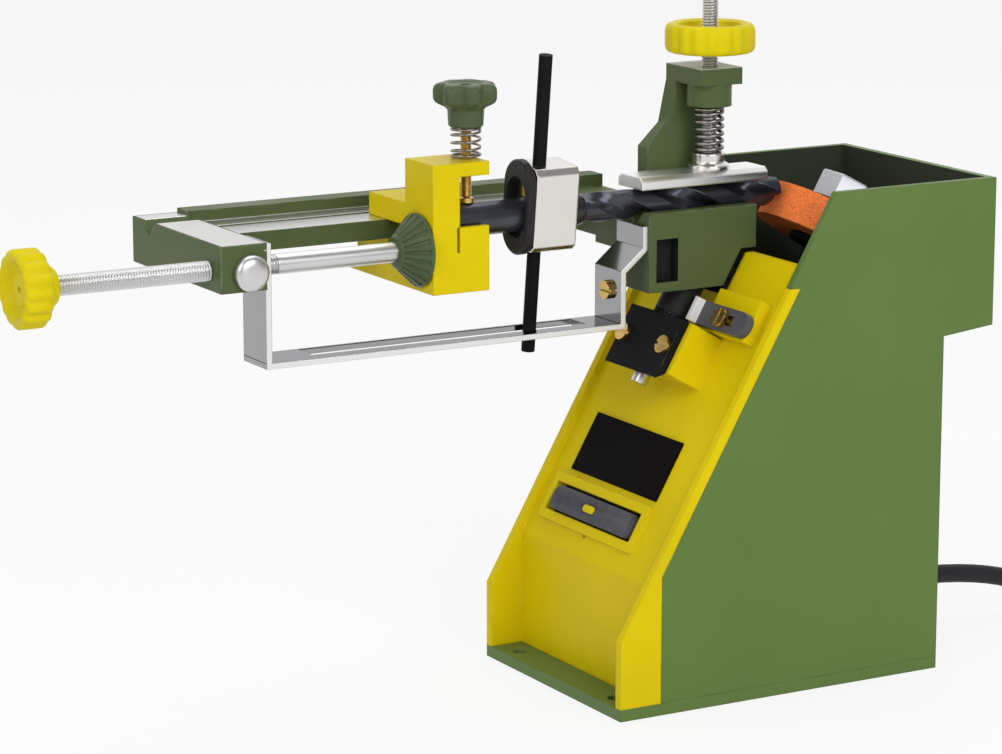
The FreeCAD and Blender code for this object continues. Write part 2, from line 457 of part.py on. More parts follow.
def clamp():
    """Sprung pad over the drill, its stud and the handwheel that lifts it."""
    top = "(plate_low+plate_tall)"
    keep("clamp_plate", slab("yz", [("-plate_half", "plate_low"), ("plate_half", "plate_low"),
                                    ("plate_half", f"{top}-1.6"), ("plate_half-2", top), ("-plate_half+2", top),
                                    ("-plate_half", f"{top}-1.6")], "-plate_from", "plate_to"))
    keep("clamp_stud", rod("z", top, "stud_top", "stud_r", "-stud_x", "0"))
    keep("clamp_ferrule", spun("z", [(top, "stud_r"), (top, "ferrule_r+1.5"), (f"{top}+1.5", "ferrule_r+1.5"),
                                     (f"{top}+2.5", "ferrule_r"), (f"{top}+ferrule_tall", "ferrule_r"),
                                     (f"{top}+ferrule_tall", "stud_r")], "-stud_x", "0"))
    coil_spring("clamp_spring", "-stud_x", f"{top}+ferrule_tall", "column_top-boss_tall", "spring_r", "spring_wire", 6)
    rest = "column_top+cap_thick+gap"
    rim = "hand_low+hand_tall"
    keep("handwheel", spun("z", [(rest, "stud_r+fit"), (rest, "hand_hub"), ("hand_low", "hand_hub+1"),
                                 ("hand_low", "hand_r-1.5"), ("hand_low+1.5", "hand_r"), (f"{rim}-2", "hand_r"),
                                 (rim, "hand_r-2"), (rim, "hand_r-4"), (f"{rim}-hand_dish", "hand_r-6"),
                                 (f"{rim}-hand_dish", "hand_hub"), (f"{rim}-1", "hand_hub-1"),
                                 (f"{rim}-1", "stud_r+fit")], "-stud_x", "0"))


def tailstock():
    """Saddle on the bed with the shank rest, its screw, and the feed that pushes it."""
    near, end = "-post_half", "-post_x+post_long"
    post = box(("-post_x", end), (near, "post_half"), ("post_low", "post_top"))
    saddle = box(("-post_x", end), ("post_half", "saddle_far"), ("bed_top+gap/3", "saddle_top"))
    skirt = box(("-post_x", end), ("post_half", "flange_far"), ("post_low", "flange_top"))
    notch = box(("-notch_x", f"{end}+1"), (f"{near}-1", "post_half+1"), ("notch_low", "notch_high"))
    drop = "(shank_r+fit)/sin(45deg)"
    vee = slab("yz", [("0", f"drill_z-{drop}"), (f"{drop}+1", "drill_z+1"), (f"-{drop}-1", "drill_z+1")],
               "-notch_x", f"{end}+1")
    slit = box(("-notch_x-slit", "-notch_x"), (f"{near}-1", "post_half+1"), ("slit_low", "notch_low+0.1"))
    screw_way = rod("z", "notch_high-1", "post_top+1", "screw_r+fit", "-screw_x", "0")
    seat = rod("x", "-post_x-1", "-rod_end+gap", "thread_r+fit", "0", "rod_z")
    keep("tailstock", cut(fuse(post, saddle, skirt), notch, vee, slit, screw_way, seat))
    keep("saddle_gib", box(("-post_x+2", f"{end}-2"), ("bed_near+2", "bed_far-2"), ("flange_top", "bed_low-gap/3")))
    keep("feed_screw", rod("x", "-knob_face+3", "-rod_end", "thread_r", "0", "rod_z"))
    back = "-knob_face+knob_long"
    keep("feed_knob", spun("x", [("-knob_face+3", "thread_r"), ("-knob_face+knob_dish", "knob_r-4.5"),
                                 ("-knob_face", "knob_r-3"), ("-knob_face", "knob_r-1.5"),
                                 ("-knob_face+1.5", "knob_r"), (f"{back}-1.5", "knob_r"), (back, "knob_r-1.5"),
                                 (back, "knob_hub_r"), (f"{back}+knob_hub", "knob_hub_r-1.5"),
                                 (f"{back}+knob_hub", "thread_r")], "0", "rod_z"))
    base = "-post_x-gap"
    keep("feed_dial", spun("x", [(base, "thread_r"), (base, "dial_r"), (f"{base}-dial_rim", "dial_r"),
                                 (f"{base}-dial_long", "dial_tip_r"), (f"{base}-dial_long", "thread_r")], "0", "rod_z"))
    pad_low = "drill_z+shank_r+fit"
    pad_top = f"({pad_low}+pad_tall)"
    keep("clamp_pad", rod("z", pad_low, pad_top, "pad_r", "-screw_x", "0"))
    keep("star_screw", rod("z", f"{pad_top}+fit", "star_low", "screw_r", "-screw_x", "0"))
    coil_spring("star_spring", "-screw_x", "post_top", "star_low", "star_coil_r", "star_wire", 4)
    hub_top = "star_low+star_hub"
    lobes = [rod("z", hub_top, f"{hub_top}+star_tall", "lobe_r", f"-screw_x+star_r*cos({60 * i}deg)",
                 f"star_r*sin({60 * i}deg)") for i in range(6)]
    keep("star_knob", fuse(rod("z", "star_low", hub_top, "star_hub_r", "-screw_x", "0"),
                           rod("z", hub_top, f"{hub_top}+star_tall", "star_r+0.6", "-screw_x", "0"), *lobes))


def drill():
    """Twist drill in the rest, and the index dog gripped on its shank."""
    point_long = "flute_r/tan(point/2*1deg)"
    blank = spun("x", [("-notch_x+tail_gap", "0"), ("-notch_x+tail_gap", "shank_r-0.8"),
                       ("-notch_x+tail_gap+0.8", "shank_r"),
                       ("-flute_from-3", "shank_r"), ("-flute_from", "flute_r"), (f"tip_x-{point_long}", "flute_r"),
                       ("tip_x", "0")], "0", "drill_z")
    flutes = []
    for start in (0, 180):
        helix = make("Part::Helix")
        helix.SegmentLength = 0
        bind(helix, Radius="flute_off", Pitch="flute_lead", Height="tip_x+flute_from+8")
        ring = make("Part::Circle")
        bind(ring, Radius="flute_cut")
        ring.Placement = FreeCAD.Placement(FreeCAD.Vector(number("flute_off"), 0, 0), FreeCAD.Rotation(X_AXIS, 90))
        ring.setExpression("Placement.Base.x", bound("flute_off"))
        doc.recompute()
        groove = make("Part::Sweep")
        groove.Sections = [ring]
        groove.Spine = (helix, [f"Edge{i + 1}" for i in range(len(helix.Shape.Edges))])
        groove.Solid = True
        groove.Frenet = True
        spin = FreeCAD.Rotation(Y_AXIS, 90).multiply(FreeCAD.Rotation(Z_AXIS, start))
        groove.Placement = FreeCAD.Placement(FreeCAD.Vector(), spin)
        flutes.append(move(groove, "-flute_from-2", "0", "drill_z"))
    keep("drill_bit", cut(blank, *flutes))
    ring_end = "-ring_x+ring_long"
    cup = spun("x", [("-ring_x", "ring_bore"), ("-ring_x", "ring_r-ring_edge"), ("-ring_x+ring_edge", "ring_r"),
                     (f"{ring_end}-ring_edge", "ring_r"), (ring_end, "ring_r-ring_edge"), (ring_end, "0"),
                     (f"{ring_end}-ring_web", "0"), (f"{ring_end}-ring_web", "ring_bore")], "0", "drill_z+dog_rise")
    keep("dog_ring", cut(cup, rod("x", "-ring_x-1", f"{ring_end}+1", "shank_r+fit", "0", "drill_z")))
    deep, low, high = "collar_deep", "dog_rise-collar_half", "dog_rise+collar_half"
    outline = [(f"-{deep}+2", low), (f"{deep}-2", low), (deep, f"{low}+2"), (deep, f"{high}-2"),
               (f"{deep}-2", high), (f"-{deep}+2", high), (f"-{deep}", f"{high}-2"), (f"-{deep}", f"{low}+2")]
    block = slab("yz", outline, ring_end, f"{ring_end}+collar_long")
    hole = rod("x", f"{ring_end}-1", f"{ring_end}+collar_long+1", "shank_r+fit", "0", "0")
    across = rod("z", f"{low}-1", f"{high}+1", "dog_r", "-dog_x", "0")
    collar = cut(block, hole, across)

    def lean(thing):
        thing.Placement = FreeCAD.Placement(FreeCAD.Vector(), FreeCAD.Rotation(X_AXIS, SIZES["dog_tilt"]))
        thing.setExpression("Placement.Rotation.Angle", bound("dog_tilt*1deg"))
        return move(thing, z="drill_z")

    keep("dog_collar", lean(collar))
    keep("dog_rods", lean(group(rod("z", "shank_r+fit", "dog_up", "dog_r", "-dog_x", "0"),
                                rod("z", "-dog_down", "-shank_r-fit", "dog_r", "-dog_x", "0"))))


def tube(edges, start, along):
    """Round tube of the lead's size along a wire."""
    wire = Part.Wire(Part.__sortEdges__(edges))
    ring = Part.Wire(Part.Circle(start, along, SIZES["cord_r"]).toShape())
    return wire.makePipeShell([ring], True, False)


def rounded_route(points):
    """Straight runs joined by tangent arcs."""
    edges, last, radii = [], points[0], []
    for before, corner, after in zip(points, points[1:], points[2:]):
        a, b = (before - corner), (after - corner)
        short = min(a.Length, b.Length)
        turn = math.pi - a.getAngle(b)
        back = 0.45 * short
        radii.append(round(back / math.tan(turn / 2), 1))
        u, v = FreeCAD.Vector(a).normalize(), FreeCAD.Vector(b).normalize()
        first, final = corner + u * back, corner + v * back
        bisector = (u + v).normalize()
        radius = back / math.tan(turn / 2)
        centre = corner + bisector * math.hypot(back, radius)
        middle = centre - bisector * radius
        edges += [Part.LineSegment(last, first).toShape(), Part.Arc(first, middle, final).toShape()]
        last = final
    edges.append(Part.LineSegment(last, points[-1]).toShape())
    print("lead bend radii", radii)
    return edges


def solid_piece(label, shape):
    thing = make("Part::Feature")
    thing.Shape = shape
    return keep(label, thing)


def half_turn(start, along, end):
    """Two quarter arcs that turn a heading right round."""
    reach = (end - start).Length / 2
    first, second = start + along * reach, end + along * reach
    middle = (first + second) * 0.5
    arcs = []
    for a, corner, b in ((start, first, middle), (middle, second, end)):
        centre = a + b - corner
        bulge = centre + (corner - centre).normalize() * reach
        arcs.append(Part.Arc(a, bulge, b).toShape())
    return arcs


def coil_edges(start):
    """In along the floor, up a layer inside, and out along the upper layer."""
    step = COIL_PITCH / 2
    radii = [COIL_INNER + step * (COIL_HALF_TURNS - i) for i in range(COIL_HALF_TURNS + 1)]
    rising = COIL_INNER - COIL_INSET
    outward = [rising + COIL_CLEAR + step * i for i in range(1, COIL_HALF_TURNS)]
    radii += [rising] + outward
    centre = start + FreeCAD.Vector(0, radii[0], 0)
    spots = []
    for i, radius in enumerate(radii):
        side = -1 if i % 2 == 0 else 1
        lift = COIL_PITCH if i > COIL_HALF_TURNS else 0
        spots.append(centre + FreeCAD.Vector(0, side * radius, lift))
    edges = []
    for i in range(len(spots) - 1):
        heading = X_AXIS if i % 2 == 0 else -X_AXIS
        edges += half_turn(spots[i], heading, spots[i + 1])
    last, radius = spots[-1], radii[-1] + step / 2
    slant = math.sqrt(0.5) * radius
    final = last + FreeCAD.Vector(radius, radius, 0)
    edges.append(Part.Arc(last, last + FreeCAD.Vector(slant, radius - slant, 0), final).toShape())
    out = final + FreeCAD.Vector(0, COIL_TAIL, 0)
    edges.append(Part.LineSegment(final, out).toShape())
    return edges, out


def least_gap(edges):
    """Smallest gap of a tube to itself, measured between points along its line."""
    wire = Part.Wire(Part.__sortEdges__(edges))
    spacing = 2.0
    points = wire.discretize(Distance=spacing)
    skip = int(6 * SIZES["cord_r"] / spacing)
    nearest = min(points[i].distanceToPoint(points[j])
                  for i in range(len(points)) for j in range(i + skip, len(points)))
    return nearest - 2 * SIZES["cord_r"], wire.Length


def mains_lead():
    """Gland, lead along the floor, the rest of it in a coil, and the plug."""
    nose = "base_half+gland_flange+gland_long"
    keep("cable_gland", spun("x", [("base_half-wall-4", "cord_r"), ("base_half-wall-4", "cord_r+1.5-fit"),
                                   ("base_half", "cord_r+1.5-fit"), ("base_half", "gland_r"),
                                   ("base_half+gland_flange", "gland_r"), ("base_half+gland_flange", "gland_r-2.5"),
                                   (nose, "cord_r+1"), (nose, "cord_r")], "0", "gland_z"))
    route = [FreeCAD.Vector(*point) for point in CORD_ROUTE]
    runs = rounded_route(route)
    lead = solid_piece("mains_cord", tube(runs, route[0], route[1] - route[0]))
    turns, out = coil_edges(route[-1])
    coil = solid_piece("cord_coil", tube(turns, route[-1], X_AXIS))
    section = math.pi * SIZES["cord_r"] ** 2
    total = 0
    for name, piece, edges in (("lead", lead, runs), ("coil", coil, turns)):
        gap, length = least_gap(edges)
        total += length
        print(name, "length", round(length), "least gap", round(gap, 2),
              "volume share", round(piece.Shape.Volume / (section * length), 3))
    print("cord length", round(total))
    x, y, z = out
    collar = rod("y", f"{y}", f"{y}+plug_neck+1", "cord_r+1.5", f"{x}", f"{z}")
    grip = box((f"{x}-plug_half", f"{x}+plug_half"), (f"{y}+plug_neck", f"{y}+plug_neck+plug_long"),
               (f"{z}-plug_rise", f"{z}+plug_rise"))
    face = f"{y}+plug_neck+plug_long"
    pins = [rod("y", f"{face}-1", f"{face}+plug_pin", "plug_pin_r", f"{x}{side}plug_pitch/2", f"{z}")
            for side in ("-", "+")]
    keep("mains_plug", fuse(collar, grip, *pins))


housing()
slope_fittings()
motor()
arm()
clamp()
tailstock()
drill()
mains_lead()
doc.recompute()

for label, thing in parts.items():
    if "Invalid" in thing.State or "Error" in thing.State or thing.Shape.isNull() or not thing.Shape.isValid():
        raise RuntimeError(f"{label} failed: {thing.State}")
os.makedirs("parts", exist_ok=True)
for label, thing in parts.items():
    thing.Shape.exportStep(f"parts/{label}.step")
print(len(parts), "parts")
for label, thing in parts.items():
    print(label, len(thing.Shape.Solids), round(thing.Shape.Volume), thing.Shape.BoundBox)
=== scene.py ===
import json
import math

import bmesh
import bpy
from mathutils import Matrix, Vector


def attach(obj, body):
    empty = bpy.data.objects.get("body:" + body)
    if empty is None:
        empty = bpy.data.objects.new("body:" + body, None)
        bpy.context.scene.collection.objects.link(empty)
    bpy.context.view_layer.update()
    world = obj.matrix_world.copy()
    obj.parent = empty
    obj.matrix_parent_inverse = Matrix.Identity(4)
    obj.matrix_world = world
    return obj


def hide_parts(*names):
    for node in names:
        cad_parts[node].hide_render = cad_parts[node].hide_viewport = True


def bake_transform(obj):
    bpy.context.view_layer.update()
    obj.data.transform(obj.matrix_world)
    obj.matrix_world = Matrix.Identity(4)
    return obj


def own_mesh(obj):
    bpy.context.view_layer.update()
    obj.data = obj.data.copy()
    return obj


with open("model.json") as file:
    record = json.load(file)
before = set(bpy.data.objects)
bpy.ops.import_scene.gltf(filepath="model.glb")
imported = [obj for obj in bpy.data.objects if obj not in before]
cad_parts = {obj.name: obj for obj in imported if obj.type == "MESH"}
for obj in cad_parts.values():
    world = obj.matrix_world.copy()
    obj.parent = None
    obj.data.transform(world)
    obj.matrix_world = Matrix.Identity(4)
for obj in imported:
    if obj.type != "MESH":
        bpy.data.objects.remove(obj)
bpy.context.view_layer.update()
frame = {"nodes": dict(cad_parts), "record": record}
scene = bpy.context.scene
scene.view_settings.view_transform = "Standard"
MM = 0.001
X_WAY, Y_WAY, Z_WAY = Vector((1, 0, 0)), Vector((0, 1, 0)), Vector((0, 0, 1))
# Takes lengths along, across and out of the sloping front to the machine's axes
SLOPE = Matrix(((0.5, 0, -0.8660254, 0), (0, 1, 0, 0), (0.8660254, 0, 0.5, 0), (0, 0, 0, 1)))

# Where the axes of the drill, the screws and the spindle lie, in millimetres
DRILL_Z = 174
FEED_Z = 165
STUD_X = -3.2
STAR_X = -102.6
LOCK_X = -190.5
SPINDLE_OUT = 37.4


def point(x, y, z):
    """Millimetres of the construction, in metres."""
    return Vector((x, y, z)) * MM


# Camera, floor and lamps

LAMP_AIM = Vector((-0.05, 0, 0.12))
LAMPS = [
    ("front_lamp", Vector((-0.1, -1.7, 1.0)), (1.3, 1.0), 17),
    ("left_lamp", Vector((-1.7, -0.6, 1.1)), (1.1, 1.1), 10),
    ("top_lamp", Vector((0.2, 0.5, 1.9)), (1.4, 1.4), 12),
]
DAYLIGHT = 0.45
PAPER_GLOW = 0.84


def add_camera():
    lens = bpy.data.cameras.new("camera")
    lens.sensor_width = 36
    lens.lens = 132.7
    lens.clip_start, lens.clip_end = 0.05, 60
    camera = bpy.data.objects.new("camera", lens)
    scene.collection.objects.link(camera)
    camera.location = point(-714.8, -1100.8, 389.9)
    camera.rotation_mode = "QUATERNION"
    camera.rotation_quaternion = Vector((0.4833, 0.8497, -0.2108)).to_track_quat("-Z", "Y")
    scene.camera = camera


def add_lamps():
    for name, place, size, watts in LAMPS:
        lamp = bpy.data.lights.new(name, "AREA")
        lamp.shape = "RECTANGLE"
        lamp.size, lamp.size_y = size
        lamp.energy = watts
        holder = bpy.data.objects.new(name, lamp)
        scene.collection.objects.link(holder)
        holder.location = place
        holder.rotation_mode = "QUATERNION"
        holder.rotation_quaternion = (LAMP_AIM - place).to_track_quat("-Z", "Y")


def put(tree, value, socket):
    """Sets a socket to a number or colour, or links another socket to it."""
    if isinstance(value, bpy.types.NodeSocket):
        tree.links.new(value, socket)
    else:
        socket.default_value = value


def arithmetic(tree, operation, first, second):
    node = tree.nodes.new("ShaderNodeMath")
    node.operation = operation
    put(tree, first, node.inputs[0])
    put(tree, second, node.inputs[1])
    return node.outputs[0]


def larger(tree, first, second):
    return arithmetic(tree, "MAXIMUM", first, second)


def both(tree, first, second):
    return arithmetic(tree, "MULTIPLY", first, second)


def blended(tree, share, first, second):
    """Number between two others, by a share from 0 to 1."""
    node = tree.nodes.new("ShaderNodeMix")
    put(tree, first, node.inputs["A"])
    put(tree, second, node.inputs["B"])
    tree.links.new(share, node.inputs["Factor"])
    return node.outputs["Result"]


def ramp(tree, value, low, high, to_low=0.0, to_high=1.0):
    """Number that goes from one value to another while its source goes from low to high."""
    node = tree.nodes.new("ShaderNodeMapRange")
    ends = {"From Min": low, "From Max": high, "To Min": to_low, "To Max": to_high}
    for socket, number in ends.items():
        node.inputs[socket].default_value = number
    tree.links.new(value, node.inputs["Value"])
    return node.outputs[0]


def rays(tree):
    """Sockets that are 1 for rays from the camera, and 1 for reflected and refracted ones."""
    path = tree.nodes.new("ShaderNodeLightPath")
    mirrored = larger(tree, path.outputs["Is Glossy Ray"], path.outputs["Is Transmission Ray"])
    return path.outputs["Is Camera Ray"], mirrored


def add_room():
    """White room to the camera, even daylight, and for mirrors a room that is darker in front."""
    world = bpy.data.worlds.new("studio")
    scene.world = world
    world.use_nodes = True
    tree = world.node_tree
    way = tree.nodes.new("ShaderNodeTexCoord")
    split = tree.nodes.new("ShaderNodeSeparateXYZ")
    tree.links.new(way.outputs["Generated"], split.inputs[0])
    room = ramp(tree, split.outputs["Y"], low=-0.5, high=0.45, to_low=0.22, to_high=1.0)
    room.node.interpolation_type = "SMOOTHSTEP"
    seen, mirrored = rays(tree)
    level = blended(tree, mirrored, DAYLIGHT, room)
    backdrop = tree.nodes["Background"]
    tree.links.new(blended(tree, seen, level, 1.0), backdrop.inputs["Strength"])
    backdrop.inputs["Color"].default_value = (1, 1, 1, 1)


def add_floor():
    sheet = bmesh.new()
    bmesh.ops.create_grid(sheet, x_segments=1, y_segments=1, size=20)
    mesh = bpy.data.meshes.new("floor")
    sheet.to_mesh(mesh)
    sheet.free()
    floor = bpy.data.objects.new("floor", mesh)
    scene.collection.objects.link(floor)
    paper = bpy.data.materials.new("white paper")
    paper.use_nodes = True
    tree = paper.node_tree
    shader = tree.nodes["Principled BSDF"]
    shader.inputs["Base Color"].default_value = (0.82, 0.82, 0.82, 1)
    shader.inputs["Roughness"].default_value = 0.9
    glow = tree.nodes.new("ShaderNodeEmission")
    glow.inputs["Strength"].default_value = 1.0
    blend = tree.nodes.new("ShaderNodeMixShader")
    tree.links.new(both(tree, larger(tree, *rays(tree)), PAPER_GLOW), blend.inputs[0])
    tree.links.new(shader.outputs[0], blend.inputs[1])
    tree.links.new(glow.outputs[0], blend.inputs[2])
    tree.links.new(blend.outputs[0], tree.nodes["Material Output"].inputs["Surface"])
    mesh.materials.append(paper)


# Finishes

def effect(name, sockets):
    """Empty node group with named sockets: numbers, and a vector for a normal."""
    tree = bpy.data.node_groups.new(name, "ShaderNodeTree")
    for way, names in sockets.items():
        for title in names:
            kind = "NodeSocketVector" if title == "Normal" else "NodeSocketFloat"
            tree.interface.new_socket(name=title, in_out=way, socket_type=kind)
    start = tree.nodes.new("NodeGroupInput")
    end = tree.nodes.new("NodeGroupOutput")
    return tree, start, end


def place_on(tree):
    """Socket with the place on the piece, in metres."""
    return tree.nodes.new("ShaderNodeTexCoord").outputs["Object"]


def noise(tree, place, scale, detail):
    node = tree.nodes.new("ShaderNodeTexNoise")
    node.inputs["Detail"].default_value = detail
    tree.links.new(place, node.inputs["Vector"])
    put(tree, scale, node.inputs["Scale"])
    return node.outputs["Fac"]


def make_mottle():
    """Broad and fine unevenness of a painted or moulded surface, both about 0.5."""
    tree, start, end = effect("mottle", {"INPUT": ["Broad", "Fine"], "OUTPUT": ["Cloud", "Grain"]})
    place = place_on(tree)
    for size, result, detail in (("Broad", "Cloud", 4), ("Fine", "Grain", 2)):
        tree.links.new(noise(tree, place, start.outputs[size], detail), end.inputs[result])
    return tree


def make_worn_edges():
    """How close a point lies to an outer edge, broken up so that the wear is patchy."""
    tree, start, end = effect("worn edges", {"INPUT": ["Reach", "Amount"], "OUTPUT": ["Wear", "Normal"]})
    round_off = tree.nodes.new("ShaderNodeBevel")
    round_off.samples = 6
    tree.links.new(start.outputs["Reach"], round_off.inputs["Radius"])
    shape = tree.nodes.new("ShaderNodeNewGeometry")
    align = tree.nodes.new("ShaderNodeVectorMath")
    align.operation = "DOT_PRODUCT"
    tree.links.new(round_off.outputs["Normal"], align.inputs[0])
    tree.links.new(shape.outputs["Normal"], align.inputs[1])
    edge = ramp(tree, align.outputs["Value"], 0.995, 0.80)
    patch = ramp(tree, noise(tree, place_on(tree), 140, 5), 0.46, 0.64)
    tree.links.new(both(tree, both(tree, edge, patch), start.outputs["Amount"]), end.inputs["Wear"])
    tree.links.new(round_off.outputs["Normal"], end.inputs["Normal"])
    return tree


def make_scratches():
    """Fine lines along X, as drawn or ground metal shows them."""
    tree, start, end = effect("drawn lines", {"INPUT": ["Along", "Across"], "OUTPUT": ["Lines"]})
    size = tree.nodes.new("ShaderNodeCombineXYZ")
    for axis, way in (("X", "Along"), ("Y", "Across"), ("Z", "Across")):
        tree.links.new(start.outputs[way], size.inputs[axis])
    stretch = tree.nodes.new("ShaderNodeVectorMath")
    stretch.operation = "MULTIPLY"
    tree.links.new(place_on(tree), stretch.inputs[0])
    tree.links.new(size.outputs[0], stretch.inputs[1])
    tree.links.new(noise(tree, stretch.outputs[0], 1, 3), end.inputs["Lines"])
    return tree


MOTTLE = make_mottle()
WORN = make_worn_edges()
LINES = make_scratches()


def grouped(tree, group, **values):
    node = tree.nodes.new("ShaderNodeGroup")
    node.node_tree = group
    for name, value in values.items():
        node.inputs[name].default_value = value
    return node


def spread(tree, value, low, high):
    """Stretches the middle of a noise value over a range."""
    return ramp(tree, value, 0.3, 0.7, low, high)


def mixed(tree, share, first, second):
    """Colour mix; either colour may be a socket or a plain colour."""
    node = tree.nodes.new("ShaderNodeMix")
    node.data_type = "RGBA"
    tree.links.new(share, node.inputs["Factor"])
    for socket, colour in ((node.inputs["A"], first), (node.inputs["B"], second)):
        put(tree, (*colour, 1) if isinstance(colour, tuple) else colour, socket)
    return node.outputs["Result"]


def shade(colour, by):
    return tuple(min(1.0, part * by) for part in colour)


def finish(name, colour, rough, metal=0.0, broad=35.0, fine=900.0, tone=0.07, bump=0.05, depth=0.0001,
           worn=None, wear=0.0, reach=0.0006, gleam=0.15, lines=None):
    """Procedural surface: uneven tone and gloss, fine relief, softened edges and wear along them."""
    material = bpy.data.materials.new(name)
    material.use_nodes = True
    tree = material.node_tree
    shader = tree.nodes["Principled BSDF"]
    shader.inputs["Metallic"].default_value = metal
    shader.inputs["Specular IOR Level"].default_value = gleam
    texture = grouped(tree, MOTTLE, Broad=broad, Fine=fine)
    edges = grouped(tree, WORN, Reach=reach, Amount=wear)
    cloud = spread(tree, texture.outputs["Cloud"], 0, 1)
    tint = mixed(tree, cloud, shade(colour, 1 - tone), shade(colour, 1 + tone))
    if worn:
        tint = mixed(tree, edges.outputs["Wear"], tint, worn)
    tree.links.new(tint, shader.inputs["Base Color"])
    relief = texture.outputs["Grain"]
    gloss = texture.outputs["Cloud"]
    if lines:
        drawn = grouped(tree, LINES, Along=lines[0], Across=lines[1])
        relief = gloss = drawn.outputs["Lines"]
    tree.links.new(spread(tree, gloss, rough * 0.8, rough * 1.25), shader.inputs["Roughness"])
    dents = tree.nodes.new("ShaderNodeBump")
    dents.inputs["Strength"].default_value = bump
    dents.inputs["Distance"].default_value = depth
    tree.links.new(relief, dents.inputs["Height"])
    tree.links.new(edges.outputs["Normal"], dents.inputs["Normal"])
    tree.links.new(dents.outputs["Normal"], shader.inputs["Normal"])
    return material


def grit(name, colour, dark, pale):
    """Bonded abrasive: coloured grains with dark pores and pale sparks."""
    material = finish(name, colour, 0.85, bump=0.7, depth=0.0003, fine=1500, tone=0.12, broad=160)
    tree = material.node_tree
    shader = tree.nodes["Principled BSDF"]
    base = shader.inputs["Base Color"].links[0].from_socket
    cells = tree.nodes.new("ShaderNodeTexVoronoi")
    cells.inputs["Scale"].default_value = 2400
    tree.links.new(place_on(tree), cells.inputs["Vector"])
    split = tree.nodes.new("ShaderNodeSeparateColor")
    tree.links.new(cells.outputs["Color"], split.inputs[0])
    for socket, low, high, tone in (("Red", 0.80, 0.86, dark), ("Green", 0.84, 0.90, pale)):
        base = mixed(tree, ramp(tree, split.outputs[socket], low, high), base, tone)
    tree.links.new(base, shader.inputs["Base Color"])
    return material


GREEN = (0.112, 0.186, 0.046)
FINISHES = {
    "green_paint": finish("green enamel", GREEN, 0.38, broad=18, fine=700, tone=0.05, bump=0.12,
                          depth=0.00025, worn=(0.20, 0.27, 0.13), wear=0.55, reach=0.0009, gleam=0.16),
    "yellow_paint": finish("yellow enamel", (0.69, 0.535, 0.003), 0.36, broad=22, fine=650, tone=0.06,
                           bump=0.14, depth=0.00025, worn=(0.82, 0.70, 0.10), wear=0.45, reach=0.0009,
                           gleam=0.06),
    "black_steel": finish("blackened steel", (0.010, 0.010, 0.011), 0.45, metal=0.1, tone=0.2, bump=0.1,
                          worn=(0.24, 0.24, 0.25), wear=0.6, reach=0.0004, gleam=0.03),
    "label_black": finish("black label film", (0.006, 0.005, 0.005), 0.6, tone=0.2, bump=0.08, reach=0.0003,
                          gleam=0.02),
    "grey_plastic": finish("grey moulding", (0.085, 0.085, 0.095), 0.33, tone=0.08, bump=0.08,
                           worn=(0.22, 0.22, 0.23), wear=0.4, reach=0.0006),
    "black_plastic": finish("black moulding", (0.020, 0.020, 0.022), 0.40, tone=0.1, bump=0.12,
                            worn=(0.07, 0.07, 0.07), wear=0.4),
    "green_plastic": finish("dark green moulding", (0.072, 0.102, 0.044), 0.32, tone=0.1, bump=0.1,
                            worn=(0.16, 0.22, 0.11), wear=0.6),
    "yellow_plastic": finish("yellow moulding", (0.65, 0.53, 0.003), 0.34, tone=0.05, bump=0.08,
                             worn=(0.90, 0.78, 0.25), wear=0.4, gleam=0.09),
    "bright_steel": finish("ground steel", (0.66, 0.66, 0.66), 0.34, metal=1, tone=0.06, bump=0.04,
                           lines=(30, 2600)),
    "blued_steel": finish("blued steel", (0.060, 0.063, 0.078), 0.24, metal=0.75, tone=0.25, bump=0.05,
                          worn=(0.50, 0.50, 0.52), wear=0.9, reach=0.0003),
    "spring_steel": finish("spring wire", (0.30, 0.28, 0.26), 0.30, metal=1, tone=0.15, bump=0.04,
                           reach=0.0001),
    "chrome_plate": finish("chrome plate", (0.33, 0.33, 0.34), 0.12, metal=1, tone=0.04, bump=0.02,
                           lines=(20, 1500), reach=0.0005),
    "nickel_plate": finish("nickel plate", (0.74, 0.72, 0.68), 0.20, metal=1, tone=0.04, bump=0.04,
                           reach=0.0010),
    "bright_alloy": finish("pressed alloy", (0.86, 0.86, 0.85), 0.34, metal=1, tone=0.06, bump=0.08,
                           lines=(40, 1200), reach=0.0008),
    "brass": finish("brass", (0.62, 0.42, 0.13), 0.28, metal=1, tone=0.12, bump=0.05, reach=0.0003),
    "wheel_grit": grit("orange grit", (0.84, 0.200, 0.046), (0.68, 0.145, 0.034), (0.90, 0.28, 0.09)),
    "iron_core": finish("core sheet", (0.20, 0.19, 0.18), 0.5, metal=0.8, tone=0.15, bump=0.1,
                        lines=(1200, 40)),
    "cord_rubber": finish("black rubber", (0.024, 0.024, 0.027), 0.55, tone=0.12, bump=0.1, reach=0.0005),
}


def within(tree, axis, low, high):
    """1 where an object coordinate lies between two values in millimetres."""
    split = tree.nodes.new("ShaderNodeSeparateXYZ")
    tree.links.new(place_on(tree), split.inputs[0])
    test = tree.nodes.new("ShaderNodeMath")
    test.operation = "COMPARE"
    test.inputs[1].default_value = (low + high) / 2 * MM
    test.inputs[2].default_value = (high - low) / 2 * MM
    tree.links.new(split.outputs[axis], test.inputs[0])
    return test.outputs[0]


def level_with(tree, height, margin=0.2):
    """1 on a flat at a height in millimetres."""
    return within(tree, "Z", height - margin, height + margin)


